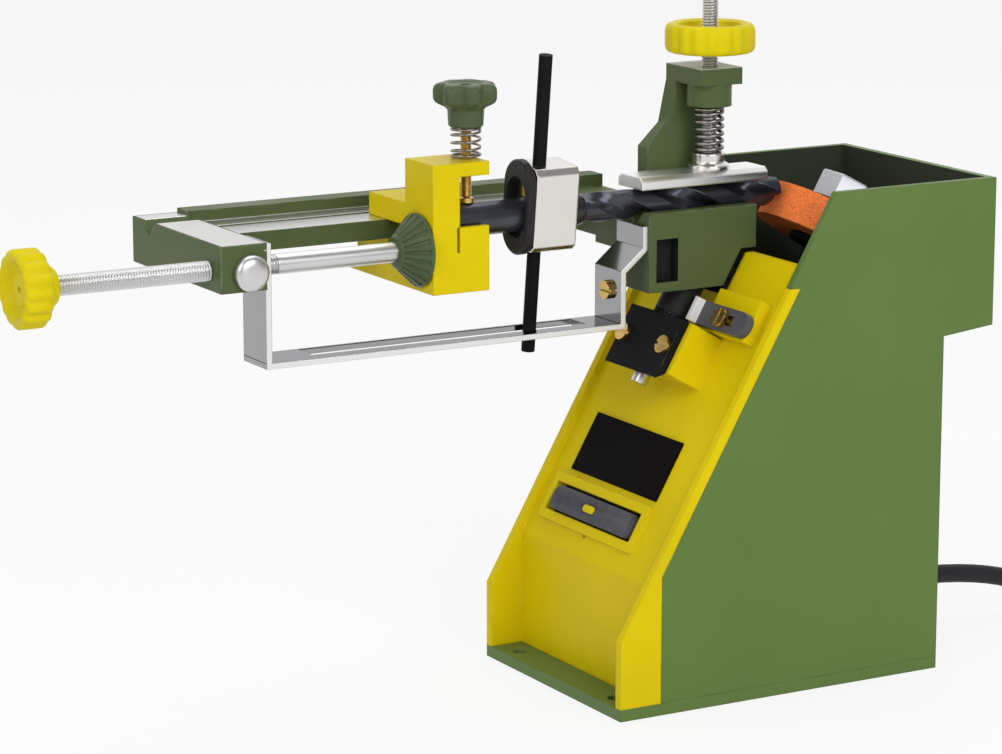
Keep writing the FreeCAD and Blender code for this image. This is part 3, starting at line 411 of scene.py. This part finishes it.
def overlay(material, share, colour, rough=None, metal=None):
    """Lays another colour over part of a finish."""
    tree = material.node_tree
    sockets = tree.nodes["Principled BSDF"].inputs
    base = sockets["Base Color"].links[0].from_socket
    tree.links.new(mixed(tree, share, base, colour), sockets["Base Color"])
    for name, value in (("Roughness", rough), ("Metallic", metal)):
        if value is not None:
            socket = sockets[name]
            before = socket.links[0].from_socket if socket.links else socket.default_value
            tree.links.new(blended(tree, share, before, value), socket)


BED_TOP, BED_X = 172, (-185, -34.5)
BAR_TOP, BAR_X, BAR_Y = 174.5, (-200.2, -184.6), (-9.2, 60.2)
COLUMN_TOP = 221
LUG_Z = (100, 142.9)
POCKET_X, POCKET_Y, POCKET_Z = (-31.05, -21.95), (-9.98, -4.9), (146.45, 162.05)
HOLLOW_X, HOLLOW_Y = (-80, 64.75), (-44.55, 44.55)
OVERHANG_X, OVERHANG_Z = (64.75, 86.35), (126.6, 181)
STRIP_FLAT, STRIP_EDGE_Y = 133, (-9.2, -8.95)
STOP_END_Y = (-11.6, -9)


def arm_enamel():
    """Dark green enamel: bare bed and front bar, pale top of the column, black pivot lug, and painted shade
    in the pocket.
    """
    material = finish("arm enamel", (0.077, 0.107, 0.039), 0.42, broad=30, fine=650, tone=0.08, bump=0.16,
                      depth=0.0003, worn=(0.24, 0.28, 0.18), wear=0.8, reach=0.0009, gleam=0.16)
    tree = material.node_tree
    ways = both(tree, level_with(tree, BED_TOP), within(tree, "X", *BED_X))
    overlay(material, ways, (0.66, 0.66, 0.64), rough=0.28, metal=1.0)
    ledge = both(tree, level_with(tree, BAR_TOP), within(tree, "X", *BAR_X))
    ledge = both(tree, ledge, within(tree, "Y", *BAR_Y))
    overlay(material, ledge, (0.62, 0.62, 0.60), rough=0.34, metal=1.0)
    overlay(material, level_with(tree, COLUMN_TOP), (0.40, 0.44, 0.36), rough=0.3)
    overlay(material, within(tree, "Z", *LUG_Z), (0.014, 0.015, 0.014), rough=0.5)
    # Painted shade: a near-black colour over the pocket in the near face of the head.
    pocket = both(tree, within(tree, "X", *POCKET_X), within(tree, "Z", *POCKET_Z))
    pocket = both(tree, pocket, within(tree, "Y", *POCKET_Y))
    overlay(material, pocket, (0.012, 0.014, 0.011), rough=0.7)
    return material


def shell_enamel():
    """Green enamel outside, and painted shade inside: a near-black colour over the hollow and under the
    overhang.
    """
    material = finish("shell enamel", GREEN, 0.42, broad=18, fine=700, tone=0.05, bump=0.12, depth=0.00025,
                      worn=(0.22, 0.29, 0.15), wear=0.55, reach=0.0009, gleam=0.16)
    tree = material.node_tree
    overhang = both(tree, within(tree, "X", *OVERHANG_X), within(tree, "Z", *OVERHANG_Z))
    hollow = larger(tree, within(tree, "X", *HOLLOW_X), overhang)
    inside = both(tree, within(tree, "Y", *HOLLOW_Y), hollow)
    # Painted shade: a near-black colour inside the hollow and under the overhang, where shadow falls.
    overlay(material, inside, (0.032, 0.044, 0.027), rough=0.7)
    return material


def strip_chrome():
    """Chrome strip with a painted dark reflection on its flat and a painted highlight along its edge."""
    material = FINISHES["chrome_plate"].copy()
    tree = material.node_tree
    # Painted reflection: a dark colour on the flat of the strip.
    overlay(material, level_with(tree, STRIP_FLAT), (0.07, 0.07, 0.085))
    # Painted highlight: a near-white colour along the strip's edge.
    overlay(material, within(tree, "Y", *STRIP_EDGE_Y), (0.86, 0.86, 0.86), rough=0.4)
    return material


def stop_grey():
    """Grey bar with a bare bent end."""
    material = FINISHES["grey_plastic"].copy()
    overlay(material, within(material.node_tree, "Y", *STOP_END_Y), (0.78, 0.78, 0.78), rough=0.3)
    return material


ARM_ENAMEL = arm_enamel()
SPECIAL = {
    "index_strip": strip_chrome(), "swing_stop": stop_grey(), "saddle_gib": FINISHES["yellow_paint"],
    "arm_casting": ARM_ENAMEL, "housing_shell": shell_enamel(),
}
for blackened in ("wheel_flanges", "rocker_pin", "thrust_washer", "spindle", "motor_shelf"):
    SPECIAL[blackened] = FINISHES["black_steel"]


def dress_nodes():
    """Every piece of the construction takes the finish of its slot, or one of its own."""
    for part in frame["record"]["subparts"]:
        name = part["node"]
        surface = SPECIAL.get(name, FINISHES[part["material_slot"]])
        data = frame["nodes"][name].data
        data.materials.clear()
        data.materials.append(surface)


# Ways of making a piece

def finished(name, shape, body, slot, replaced=(), surface=None, sharp=35):
    """Mesh piece on a body, or on none yet, standing for construction nodes."""
    mesh = bpy.data.meshes.new(name)
    shape.to_mesh(mesh)
    shape.free()
    mesh.shade_smooth()
    mesh.set_sharp_from_angle(angle=math.radians(sharp))
    mesh.materials.append(surface or FINISHES[slot])
    piece = bpy.data.objects.new(name, mesh)
    scene.collection.objects.link(piece)
    if body:
        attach(piece, body)
    if replaced:
        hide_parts(*replaced)
    return piece


def outward(axis):
    """Direction in which a profile's radius is laid out from its axis."""
    return X_WAY if axis == Z_WAY else Z_WAY


def turned(axis, origin, profile, steps):
    """Closed or axis-to-axis profile of (along, radius) in millimetres, turned about an axis."""
    out = outward(axis)
    shape = bmesh.new()
    spots = [shape.verts.new(origin + (axis * along + out * radius) * MM) for along, radius in profile]
    ring = [shape.edges.new((a, b)) for a, b in zip(spots, spots[1:])]
    if profile[0][1] > 0:
        ring.append(shape.edges.new((spots[-1], spots[0])))
    bmesh.ops.spin(shape, geom=spots + ring, cent=origin, axis=axis, angle=2 * math.pi, steps=steps,
                   use_merge=True)
    bmesh.ops.remove_doubles(shape, verts=shape.verts, dist=1e-6)
    bmesh.ops.recalc_face_normals(shape, faces=shape.faces)
    return shape


def waved(shape, axis, origin, count, depth, inner, outer):
    """Draws the rim in between soft lobes; the pull grows from the inner to the outer radius."""
    out = outward(axis)
    side = axis.cross(out)
    for vert in shape.verts:
        arm = vert.co - origin
        arm -= axis * arm.dot(axis)
        share = (arm.length / MM - inner) / (outer - inner)
        if share > 0:
            hollow = 0.5 - 0.5 * math.cos(count * math.atan2(arm.dot(side), arm.dot(out)))
            vert.co -= arm.normalized() * depth * hollow ** 1.5 * min(share, 1) * MM


def fluted(shape, axis, origin, steps, inner, outer, width, depth):
    """Sinks every other face of the sloping band between two radii, as grip flutes."""
    out = outward(axis)
    side = axis.cross(out)
    band = []
    for face in shape.faces:
        arm = face.calc_center_median() - origin
        radius = (arm - axis * arm.dot(axis)).length / MM
        turn = math.atan2(arm.dot(side), arm.dot(out)) / (2 * math.pi)
        sloping = abs(face.normal.dot(axis)) < 0.9
        if inner < radius < outer and sloping and int(turn * steps + steps) % 2:
            band.append(face)
    bmesh.ops.inset_individual(shape, faces=band, thickness=width * MM, depth=-depth * MM,
                               use_even_offset=True)


THREAD_DEPTH = 0.61
THREAD_STEPS = 28


def threaded(name, axis, low, high, origin, major, pitch, body, slot, replaced):
    """Screw thread: a zigzag of one crest per pitch turned once round while it moves on by one pitch."""
    out = outward(axis)
    root = major - THREAD_DEPTH * pitch
    shape = bmesh.new()
    line = []
    for crest in range(int((high - low) / pitch)):
        start = low + crest * pitch
        for along, radius in ((0.0, root), (0.44, major), (0.56, major)):
            line.append(shape.verts.new(origin + (axis * (start + along * pitch) + out * radius) * MM))
    edges = [shape.edges.new((a, b)) for a, b in zip(line, line[1:])]
    bmesh.ops.spin(shape, geom=line + edges, cent=origin, axis=axis, dvec=axis * pitch * MM / THREAD_STEPS,
                   angle=2 * math.pi, steps=THREAD_STEPS)
    bmesh.ops.remove_doubles(shape, verts=shape.verts, dist=2e-6)
    core = [(low, 0), (low, root - 0.4), (low + 0.4, root), (high - 1, root), (high, root - 0.6), (high, 0)]
    middle = turned(axis, origin, core, THREAD_STEPS)
    mesh = bpy.data.meshes.new("core")
    middle.to_mesh(mesh)
    middle.free()
    shape.from_mesh(mesh)
    bpy.data.meshes.remove(mesh)
    bmesh.ops.recalc_face_normals(shape, faces=shape.faces)
    finished(name, shape, body, slot, replaced, sharp=25)


SPRING_STEPS = 24


def sprung(name, x, low, high, radius, wire, turns, body, replaced):
    """Compression spring with closed end turns, from one wire section wound up."""
    shape = bmesh.new()
    section = bmesh.ops.create_circle(shape, segments=12, radius=wire / 2 * MM)["verts"]
    start = Matrix.Translation(point(x + radius, 0, low + wire / 2))
    bmesh.ops.transform(shape, matrix=start @ Matrix.Rotation(math.pi / 2, 4, "X"), verts=section)
    ring = list({edge for vert in section for edge in vert.link_edges})
    bmesh.ops.contextual_create(shape, geom=ring)
    rise = high - low - wire
    closed = wire * 1.02
    geometry = section + ring
    for count, climb in ((1, closed), (turns - 2, rise - 2 * closed), (1, closed)):
        steps = SPRING_STEPS * count
        made = bmesh.ops.spin(shape, geom=geometry, cent=point(x, 0, 0), axis=Z_WAY,
                              angle=2 * math.pi * count, steps=steps, dvec=Z_WAY * climb * MM / steps)
        geometry = made["geom_last"]
    end = [part for part in geometry if isinstance(part, bmesh.types.BMEdge)]
    bmesh.ops.contextual_create(shape, geom=end)
    bmesh.ops.remove_doubles(shape, verts=shape.verts, dist=1e-6)
    bmesh.ops.recalc_face_normals(shape, faces=shape.faces)
    return finished(name, shape, body, "spring_steel", replaced, sharp=60)


def reshaped(name, node, body, slot, shift, surface=None):
    """Copy of a construction piece with some of its corners moved."""
    shape = bmesh.new()
    shape.from_mesh(frame["nodes"][node].data)
    bmesh.ops.remove_doubles(shape, verts=shape.verts, dist=1e-6)
    for vert in shape.verts:
        vert.co += shift(vert.co / MM)
    finished(name, shape, body, slot, [node], surface=surface, sharp=1)


# Mains lead

ROUTE = [(97.7, 0, 20), (122, 0, 18.5), (150, -5, 9), (178, -18, 3.6), (206, -34, 3.6), (236, -34, 3.6)]
LEAD_WIDE = 7
COIL_STEP = 4.1
COIL_INNER = 29.5
COIL_HALVES = 6
HALF_POINTS = 8
LAYER = 8.2
TAIL = 35
STRAP_X, STRAP_WIDE, STRAP_THICK, STRAP_CORNER = -4, 9, 0.7, 4
STRAP_INSIDE, STRAP_OUTSIDE, STRAP_LOW, STRAP_OVER = 6.6, 2.4, 0.2, 0.5


def coil_points():
    """Points round two flat layers of turns, in on the floor and out above, eight to each half turn."""
    radii = [COIL_INNER + COIL_STEP * (COIL_HALVES - i) for i in range(COIL_HALVES + 1)]
    radii += [COIL_INNER - 2] + [COIL_INNER + COIL_STEP * i for i in range(1, COIL_HALVES)]
    x, y, z = ROUTE[-1]
    centre = y + radii[0]
    step = math.pi / HALF_POINTS
    points = []
    for i in range(len(radii) - 1):
        side = -1 if i % 2 == 0 else 1
        start, end = centre + side * radii[i], centre - side * radii[i + 1]
        low = z if i <= COIL_HALVES else z + LAYER
        climb = LAYER if i == COIL_HALVES else 0
        wide = abs(end - start) / 2 / math.cos(step / 2)
        for k in range(HALF_POINTS):
            angle = (k + 0.5) * step
            across = (start + end) / 2 + side * wide * math.cos(angle)
            points.append((x - side * wide * math.sin(angle), across, low + climb * (k + 0.5) / HALF_POINTS))
    last, reach = centre - radii[-1], radii[-1] + COIL_STEP / 2
    wide = reach / math.cos(step / 2)
    for k in range(HALF_POINTS // 2):
        angle = (k + 0.5) * step
        points.append((x + wide * math.sin(angle), last + reach - wide * math.cos(angle), z + LAYER))
    points.append((x + reach, last + reach + TAIL * 0.4, z + LAYER))
    points.append((x + reach, last + reach + TAIL, z + LAYER))
    return points


def mains_lead():
    line = bpy.data.curves.new("mains_lead", "CURVE")
    line.dimensions = "3D"
    spline = line.splines.new("NURBS")
    route = ROUTE + coil_points()
    spline.points.add(len(route) - 1)
    for knot, spot in zip(spline.points, route):
        knot.co = (*point(*spot), 1)
    spline.order_u = 3
    spline.use_endpoint_u = True
    spline.resolution_u = 6
    line.bevel_depth = LEAD_WIDE / 2 * MM
    line.bevel_resolution = 5
    line.use_fill_caps = True
    line.materials.append(FINISHES["cord_rubber"])
    lead = bpy.data.objects.new("mains_lead", line)
    scene.collection.objects.link(lead)
    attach(lead, "housing")
    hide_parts("mains_cord", "cord_coil")
    tie = coil_tie()


def coil_tie():
    """Flat strap round the turns on the far side of the coil."""
    x, y, z = ROUTE[-1]
    middle = y + COIL_INNER + COIL_STEP * COIL_HALVES
    near = middle + COIL_INNER - STRAP_INSIDE
    far = middle + COIL_INNER + COIL_STEP * COIL_HALVES + STRAP_OUTSIDE
    low, high = STRAP_LOW, z + LAYER + LEAD_WIDE / 2 + STRAP_OVER
    shape = bmesh.new()
    bmesh.ops.create_cube(shape, size=1)
    size = Matrix.Diagonal((*point(STRAP_WIDE, far - near, high - low), 1))
    place = Matrix.Translation(point(x + STRAP_X, (near + far) / 2, (low + high) / 2))
    bmesh.ops.transform(shape, matrix=place @ size, verts=shape.verts)
    ends = [face for face in shape.faces if abs(face.normal.x) > 0.9]
    bmesh.ops.delete(shape, geom=ends, context="FACES_ONLY")
    runs = [e for e in shape.edges if abs((e.verts[0].co - e.verts[1].co).normalized().x) > 0.9]
    bmesh.ops.bevel(shape, geom=runs, offset=STRAP_CORNER * MM, affect="EDGES", segments=6, profile=0.5,
                    material=-1)
    bmesh.ops.recalc_face_normals(shape, faces=shape.faces)
    bmesh.ops.solidify(shape, geom=shape.faces[:], thickness=STRAP_THICK * MM)
    bmesh.ops.recalc_face_normals(shape, faces=shape.faces)
    return finished("coil_tie", shape, "housing", "black_plastic", sharp=40)


# Knobs, with profiles of (along, radius)

def handwheel():
    origin = point(STUD_X, 0, 0)
    profile = [
        (226.2, 3.05), (226.2, 5.2), (226, 6), (226, 13.6), (226.3, 15.0), (227.2, 15.9), (228.6, 16.2),
        (231.2, 16.2), (233.8, 16.2), (235.2, 15.8), (236.2, 14.9), (236.5, 13.8), (236.4, 12.8),
        (235.7, 11.6), (231.0, 10.6), (229.8, 9.6), (229.4, 8), (229.6, 5.6), (231.8, 4.7), (232.2, 4.3),
        (232.2, 3.05)]
    shape = turned(Z_WAY, origin, profile, steps=144)
    waved(shape, Z_WAY, origin, count=18, depth=0.75, inner=12.6, outer=16.2)
    finished("handwheel_moulding", shape, "clamp_wheel", "yellow_plastic", ["handwheel"])


def feed_knob():
    origin = point(0, 0, FEED_Z)
    profile = [
        (-267.4, 0), (-267.4, 0.9), (-268.6, 1.1), (-268.6, 5.4), (-268.0, 6.2), (-268.0, 7.4), (-268.7, 8.3),
        (-269.6, 9.0), (-270.5, 9.9), (-271, 10.8), (-270.9, 11.9), (-270.3, 12.8), (-269.2, 13.4),
        (-267, 13.4), (-264.5, 13.4), (-262.6, 13.3), (-261.6, 12.7), (-261.0, 11.7), (-261, 8.4),
        (-260.4, 7.4), (-257.3, 6.5), (-256.7, 6.0), (-256.5, 5.4), (-256.5, 0)]
    shape = turned(X_WAY, origin, profile, steps=128)
    waved(shape, X_WAY, origin, count=16, depth=1.1, inner=10, outer=13.4)
    finished("feed_knob_moulding", shape, "feed", "yellow_plastic", ["feed_knob"])


def feed_dial():
    origin = point(0, 0, FEED_Z)
    profile = [
        (-121.3, 3.5), (-121.3, 12.4), (-121.7, 12.9), (-122.3, 12.9), (-122.8, 12.5), (-129.8, 6.1),
        (-130.5, 5.4), (-130.8, 4.9), (-130.8, 3.5)]
    shape = turned(X_WAY, origin, profile, steps=40)
    fluted(shape, X_WAY, origin, steps=40, inner=7.5, outer=11, width=0.16, depth=0.6)
    finished("feed_dial_moulding", shape, "feed", "green_plastic", ["feed_dial"])


def star_knob():
    origin = point(STAR_X, 0, 0)
    profile = [
        (206.5, 2.0), (206.5, 5.6), (207.0, 6.1), (212.4, 6.4), (213.4, 7.4), (214.2, 9.2), (215.0, 10.6),
        (216.2, 11.3), (219.0, 11.4), (220.4, 11.1), (221.3, 10.2), (221.7, 8.8), (221.5, 6.5), (221.0, 5.6),
        (221.0, 2.0)]
    shape = turned(Z_WAY, origin, profile, steps=112)
    waved(shape, Z_WAY, origin, count=7, depth=2.6, inner=6.4, outer=11.4)
    finished("star_knob_moulding", shape, "star", "green_plastic", ["star_knob"])


# Drill and dog

FLUTE_FROM, POINT_FROM, TIP = -57, 24.8, 28
BODY, FLUTE_LEAD, FLUTE_STEPS = 5.3, 58, 150
FLUTE_HALF, FLUTE_DEEP = 0.95, 2.9
DOG_X, DOG_RISE, DOG_LEAN = -80, 2.7, math.radians(6.5)
RING_MIDDLE, RING_STRETCH, BORE_STRETCH = 7, 8.0, 4.6


def twist_drill():
    """Drill with a plain shank and two open flutes, twisted up from one section."""
    origin = point(0, 0, DRILL_Z)
    shank = [(-110, 0), (-110, 5.2), (-109.2, 6), (-60, 6), (FLUTE_FROM, BODY), (FLUTE_FROM, 0)]
    shape = turned(X_WAY, origin, shank, steps=56)
    section = bmesh.ops.create_circle(shape, segments=72, radius=BODY * MM)["verts"]
    stand = Matrix.Translation(origin + X_WAY * FLUTE_FROM * MM) @ Matrix.Rotation(math.pi / 2, 4, "Y")
    bmesh.ops.transform(shape, matrix=stand, verts=section)
    for vert in section:
        arm = vert.co - origin
        arm.x = 0
        away = abs(math.atan(arm.y / arm.z)) if arm.z else math.pi / 2
        if away < FLUTE_HALF:
            hollow = math.cos(away / FLUTE_HALF * math.pi / 2) ** 0.7
            vert.co -= arm.normalized() * FLUTE_DEEP * hollow * MM
    ring = list({edge for vert in section for edge in vert.link_edges})
    long = POINT_FROM - FLUTE_FROM
    made = bmesh.ops.spin(shape, geom=section + ring, cent=origin, axis=X_WAY, steps=FLUTE_STEPS,
                          angle=2 * math.pi * long / FLUTE_LEAD, dvec=X_WAY * long * MM / FLUTE_STEPS)
    last = [part for part in made["geom_last"] if isinstance(part, bmesh.types.BMEdge)]
    cone = bmesh.ops.extrude_edge_only(shape, edges=last)["geom"]
    tip = [part for part in cone if isinstance(part, bmesh.types.BMVert)]
    bmesh.ops.pointmerge(shape, verts=tip, merge_co=origin + X_WAY * TIP * MM)
    bmesh.ops.recalc_face_normals(shape, faces=shape.faces)
    finished("twist_drill", shape, "tailstock", "blued_steel", ["drill_bit"], sharp=40)


def dog_ring():
    """Long ring on the end of the dog: a round ring drawn out up and down, more outside than in its bore."""
    origin = point(DOG_X, 0, DRILL_Z)
    profile = [(-3.2, 6.3), (-3.2, 8.4), (-2.6, 9.0), (-0.4, 9.0), (0, 8.6), (0, 6.3)]
    shape = turned(X_WAY, origin, profile, steps=72)
    for vert in shape.verts:
        arm = vert.co - origin
        arm.x = 0
        stretch = RING_STRETCH if arm.length > RING_MIDDLE * MM else BORE_STRETCH
        vert.co.z += math.copysign(stretch, arm.z) * MM
    rise = Matrix.Translation(point(0, 0, DOG_RISE))
    lean = Matrix.Translation(origin) @ Matrix.Rotation(DOG_LEAN, 4, "X") @ Matrix.Translation(-origin)
    bmesh.ops.transform(shape, matrix=lean @ rise, verts=shape.verts)
    finished("dog_end_ring", shape, "tailstock", "black_plastic", ["dog_ring"])


# Screws and springs

CLAMP_SPRING = (190, 207)
STAR_SPRING = (195.5, 206.5)


def lock_bolt():
    """Domed head on the side of the front bar, with its shank inside."""
    profile = [
        (-14.5, 0), (-14.45, 2.6), (-14.2, 4.4), (-13.6, 5.6), (-12.8, 6.1), (-12, 6.2), (-10.5, 6.2),
        (-10.0, 5.8), (-10.0, 3.0), (-4.3, 3.0), (-4.1, 2.8), (-4.1, 0)]
    shape = turned(Y_WAY, point(LOCK_X, 0, FEED_Z), profile, steps=48)
    finished("lock_bolt_head", shape, "arm", "bright_steel", ["lock_bolt"])


def screws():
    feed = point(0, 0, FEED_Z)
    threaded("feed_thread", X_WAY, -266, -176, feed, major=3.5, pitch=1.0, body="feed", slot="bright_steel",
             replaced=["feed_screw"])
    rod = [(-176.6, 0), (-176.6, 3.1), (-176.2, 3.5), (-115.4, 3.5), (-115, 3.1), (-115, 0)]
    finished("feed_plain_rod", turned(X_WAY, feed, rod, steps=40), "feed", "bright_steel")
    threaded("clamp_thread", Z_WAY, 184.2, 246, point(STUD_X, 0, 0), major=3.0, pitch=1.0, body="clamp",
             slot="bright_steel", replaced=["clamp_stud"])
    threaded("star_thread", Z_WAY, 181.8, 206.5, point(STAR_X, 0, 0), major=2.0, pitch=0.7, body="star",
             slot="brass", replaced=["star_screw"])


def springs():
    clamp = sprung("clamp_spring_wire", STUD_X, *CLAMP_SPRING, radius=4.9, wire=1.3, turns=7, body="arm",
                   replaced=["clamp_spring"])
    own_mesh(clamp)
    star = sprung("star_spring_wire", STAR_X, *STAR_SPRING, radius=5.0, wire=0.9, turns=5, body=None,
                  replaced=["star_spring"])
    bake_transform(star)


# Rocker, nut, column and bracket

ROCKER_CAP = (25.2, -22, 71.0), (34.4, 32.4, 73.4)
ROCKER_MARK = (28.4, 3.0, 72.6), (31.2, 9.8, 74.0)
NUT_FROM, NUT_TALL, NUT_R, NUT_TURN = 170.5, 10, 10.2, 10
# Corners of a casting this close to a level or a face move with it, in millimetres
SAME = 0.1
CAP_UNDER, CAP_THINNED = 213, 1.9
FLARE_TOP, COLUMN_MIDDLE = 202.4, 12
FLARE_FAR, FLARE_NEAR = (-3.2, 0, -2.4), (0, 0, 2)
BRACKET_LOW, BRACKET_FRONT, BRACKET_HALF = 84, 88, 21
BRACKET_DOWN, NEAR_NARROWED, FAR_NARROWED = 3, 3.5, 3.8


def slope_bar(low, high, corner, edge):
    """Rounded bar given along, across and out of the slope: round corners from the front, soft rim."""
    shape = bmesh.new()
    bmesh.ops.create_cube(shape, size=1)
    size = point(*[b - a for a, b in zip(low, high)])
    middle = point(*[(a + b) / 2 for a, b in zip(low, high)])
    fit = Matrix.Translation(middle) @ Matrix.Diagonal((*size, 1))
    bmesh.ops.transform(shape, matrix=fit, verts=shape.verts)
    posts = [e for e in shape.edges if abs((e.verts[0].co - e.verts[1].co).normalized().z) > 0.9]
    bmesh.ops.bevel(shape, geom=posts, offset=corner * MM, affect="EDGES", segments=6, profile=0.5,
                    material=-1)
    top = max(vert.co.z for vert in shape.verts)
    upper = [e for e in shape.edges if all(vert.co.z > top - 1e-6 for vert in e.verts)]
    rim = [e for e in upper if len(e.link_faces) == 2 and e.calc_face_angle(0) > 0.5]
    bmesh.ops.bevel(shape, geom=rim, offset=edge * MM, affect="EDGES", segments=3, profile=0.5, material=-1)
    return shape


def rocker():
    """Grey cap with a shallow dished face, and a yellow mark on it."""
    shape = slope_bar(*ROCKER_CAP, corner=3.0, edge=0.8)
    upward = [face for face in shape.faces if face.normal.z > 0.9]
    centre = [max(upward, key=lambda face: face.calc_area())]
    for depth, width in ((0, 1.2), (-0.25, 0.3)):
        bmesh.ops.inset_region(shape, faces=centre, thickness=width * MM, depth=depth * MM,
                               use_even_offset=True)
    bmesh.ops.transform(shape, matrix=SLOPE, verts=shape.verts)
    slate = finish("slate moulding", (0.062, 0.064, 0.080), 0.36, broad=180, tone=0.3, bump=0.25,
                   depth=0.0003, worn=(0.26, 0.26, 0.28), wear=0.6, reach=0.0005)
    finished("rocker_cap", shape, "switch", "grey_plastic", ["rocker"], surface=slate, sharp=40)
    nub = slope_bar(*ROCKER_MARK, corner=1.3, edge=0.4)
    bmesh.ops.transform(nub, matrix=SLOPE, verts=nub.verts)
    finished("rocker_mark", nub, "switch", "yellow_paint", sharp=40)


def spindle_nut():
    """Six-sided nut on the end of the spindle, which leans with the slope."""
    shape = bmesh.new()
    bmesh.ops.create_cone(shape, cap_ends=True, segments=6, radius1=NUT_R * MM, radius2=NUT_R * MM,
                          depth=NUT_TALL * MM)
    top = [e for e in shape.edges if all(vert.co.z > 0 for vert in e.verts)]
    bmesh.ops.bevel(shape, geom=top, offset=0.8 * MM, affect="EDGES", segments=2, profile=0.5, material=-1)
    place = Matrix.Translation(point(NUT_FROM + NUT_TALL / 2, 0, SPINDLE_OUT))
    lay = place @ Matrix.Rotation(math.pi / 2, 4, "Y")
    turn = Matrix.Rotation(math.radians(NUT_TURN), 4, "Z")
    bmesh.ops.transform(shape, matrix=SLOPE @ lay @ turn, verts=shape.verts)
    zinc = finish("grey zinc", (0.42, 0.43, 0.47), 0.30, metal=0.7, bump=0.1, worn=(0.75, 0.75, 0.77),
                  wear=0.5)
    finished("spindle_nut", shape, "wheel", "bright_steel", ["wheel_nut"], surface=zinc)


def column_shift(spot):
    """Slants the outer edge of the clamp column and thins its cap."""
    if abs(spot.z - CAP_UNDER) < SAME:
        return point(0, 0, CAP_THINNED)
    if abs(spot.z - FLARE_TOP) < SAME:
        return point(*(FLARE_FAR if spot.y > COLUMN_MIDDLE else FLARE_NEAR))
    return point(0, 0, 0)


def bracket_shift(spot):
    """Narrows the hinge bracket and brings its lower front edge down the slope."""
    along, across, out = SLOPE.inverted() @ spot
    shift = point(0, 0, 0)
    if along < BRACKET_LOW + SAME and out > BRACKET_FRONT - SAME:
        shift.x = -BRACKET_DOWN * MM
    if across < SAME - BRACKET_HALF:
        shift.y = NEAR_NARROWED * MM
    elif across > BRACKET_HALF - SAME:
        shift.y = -FAR_NARROWED * MM
    return SLOPE @ shift


add_camera()
add_room()
add_floor()
add_lamps()
dress_nodes()
mains_lead()
handwheel()
feed_knob()
feed_dial()
star_knob()
twist_drill()
dog_ring()
lock_bolt()
screws()
springs()
rocker()
spindle_nut()
reshaped("column_casting", "clamp_column", "arm", "green_paint", column_shift, ARM_ENAMEL)
reshaped("bracket_block", "hinge_bracket", "housing", "black_steel", bracket_shift)
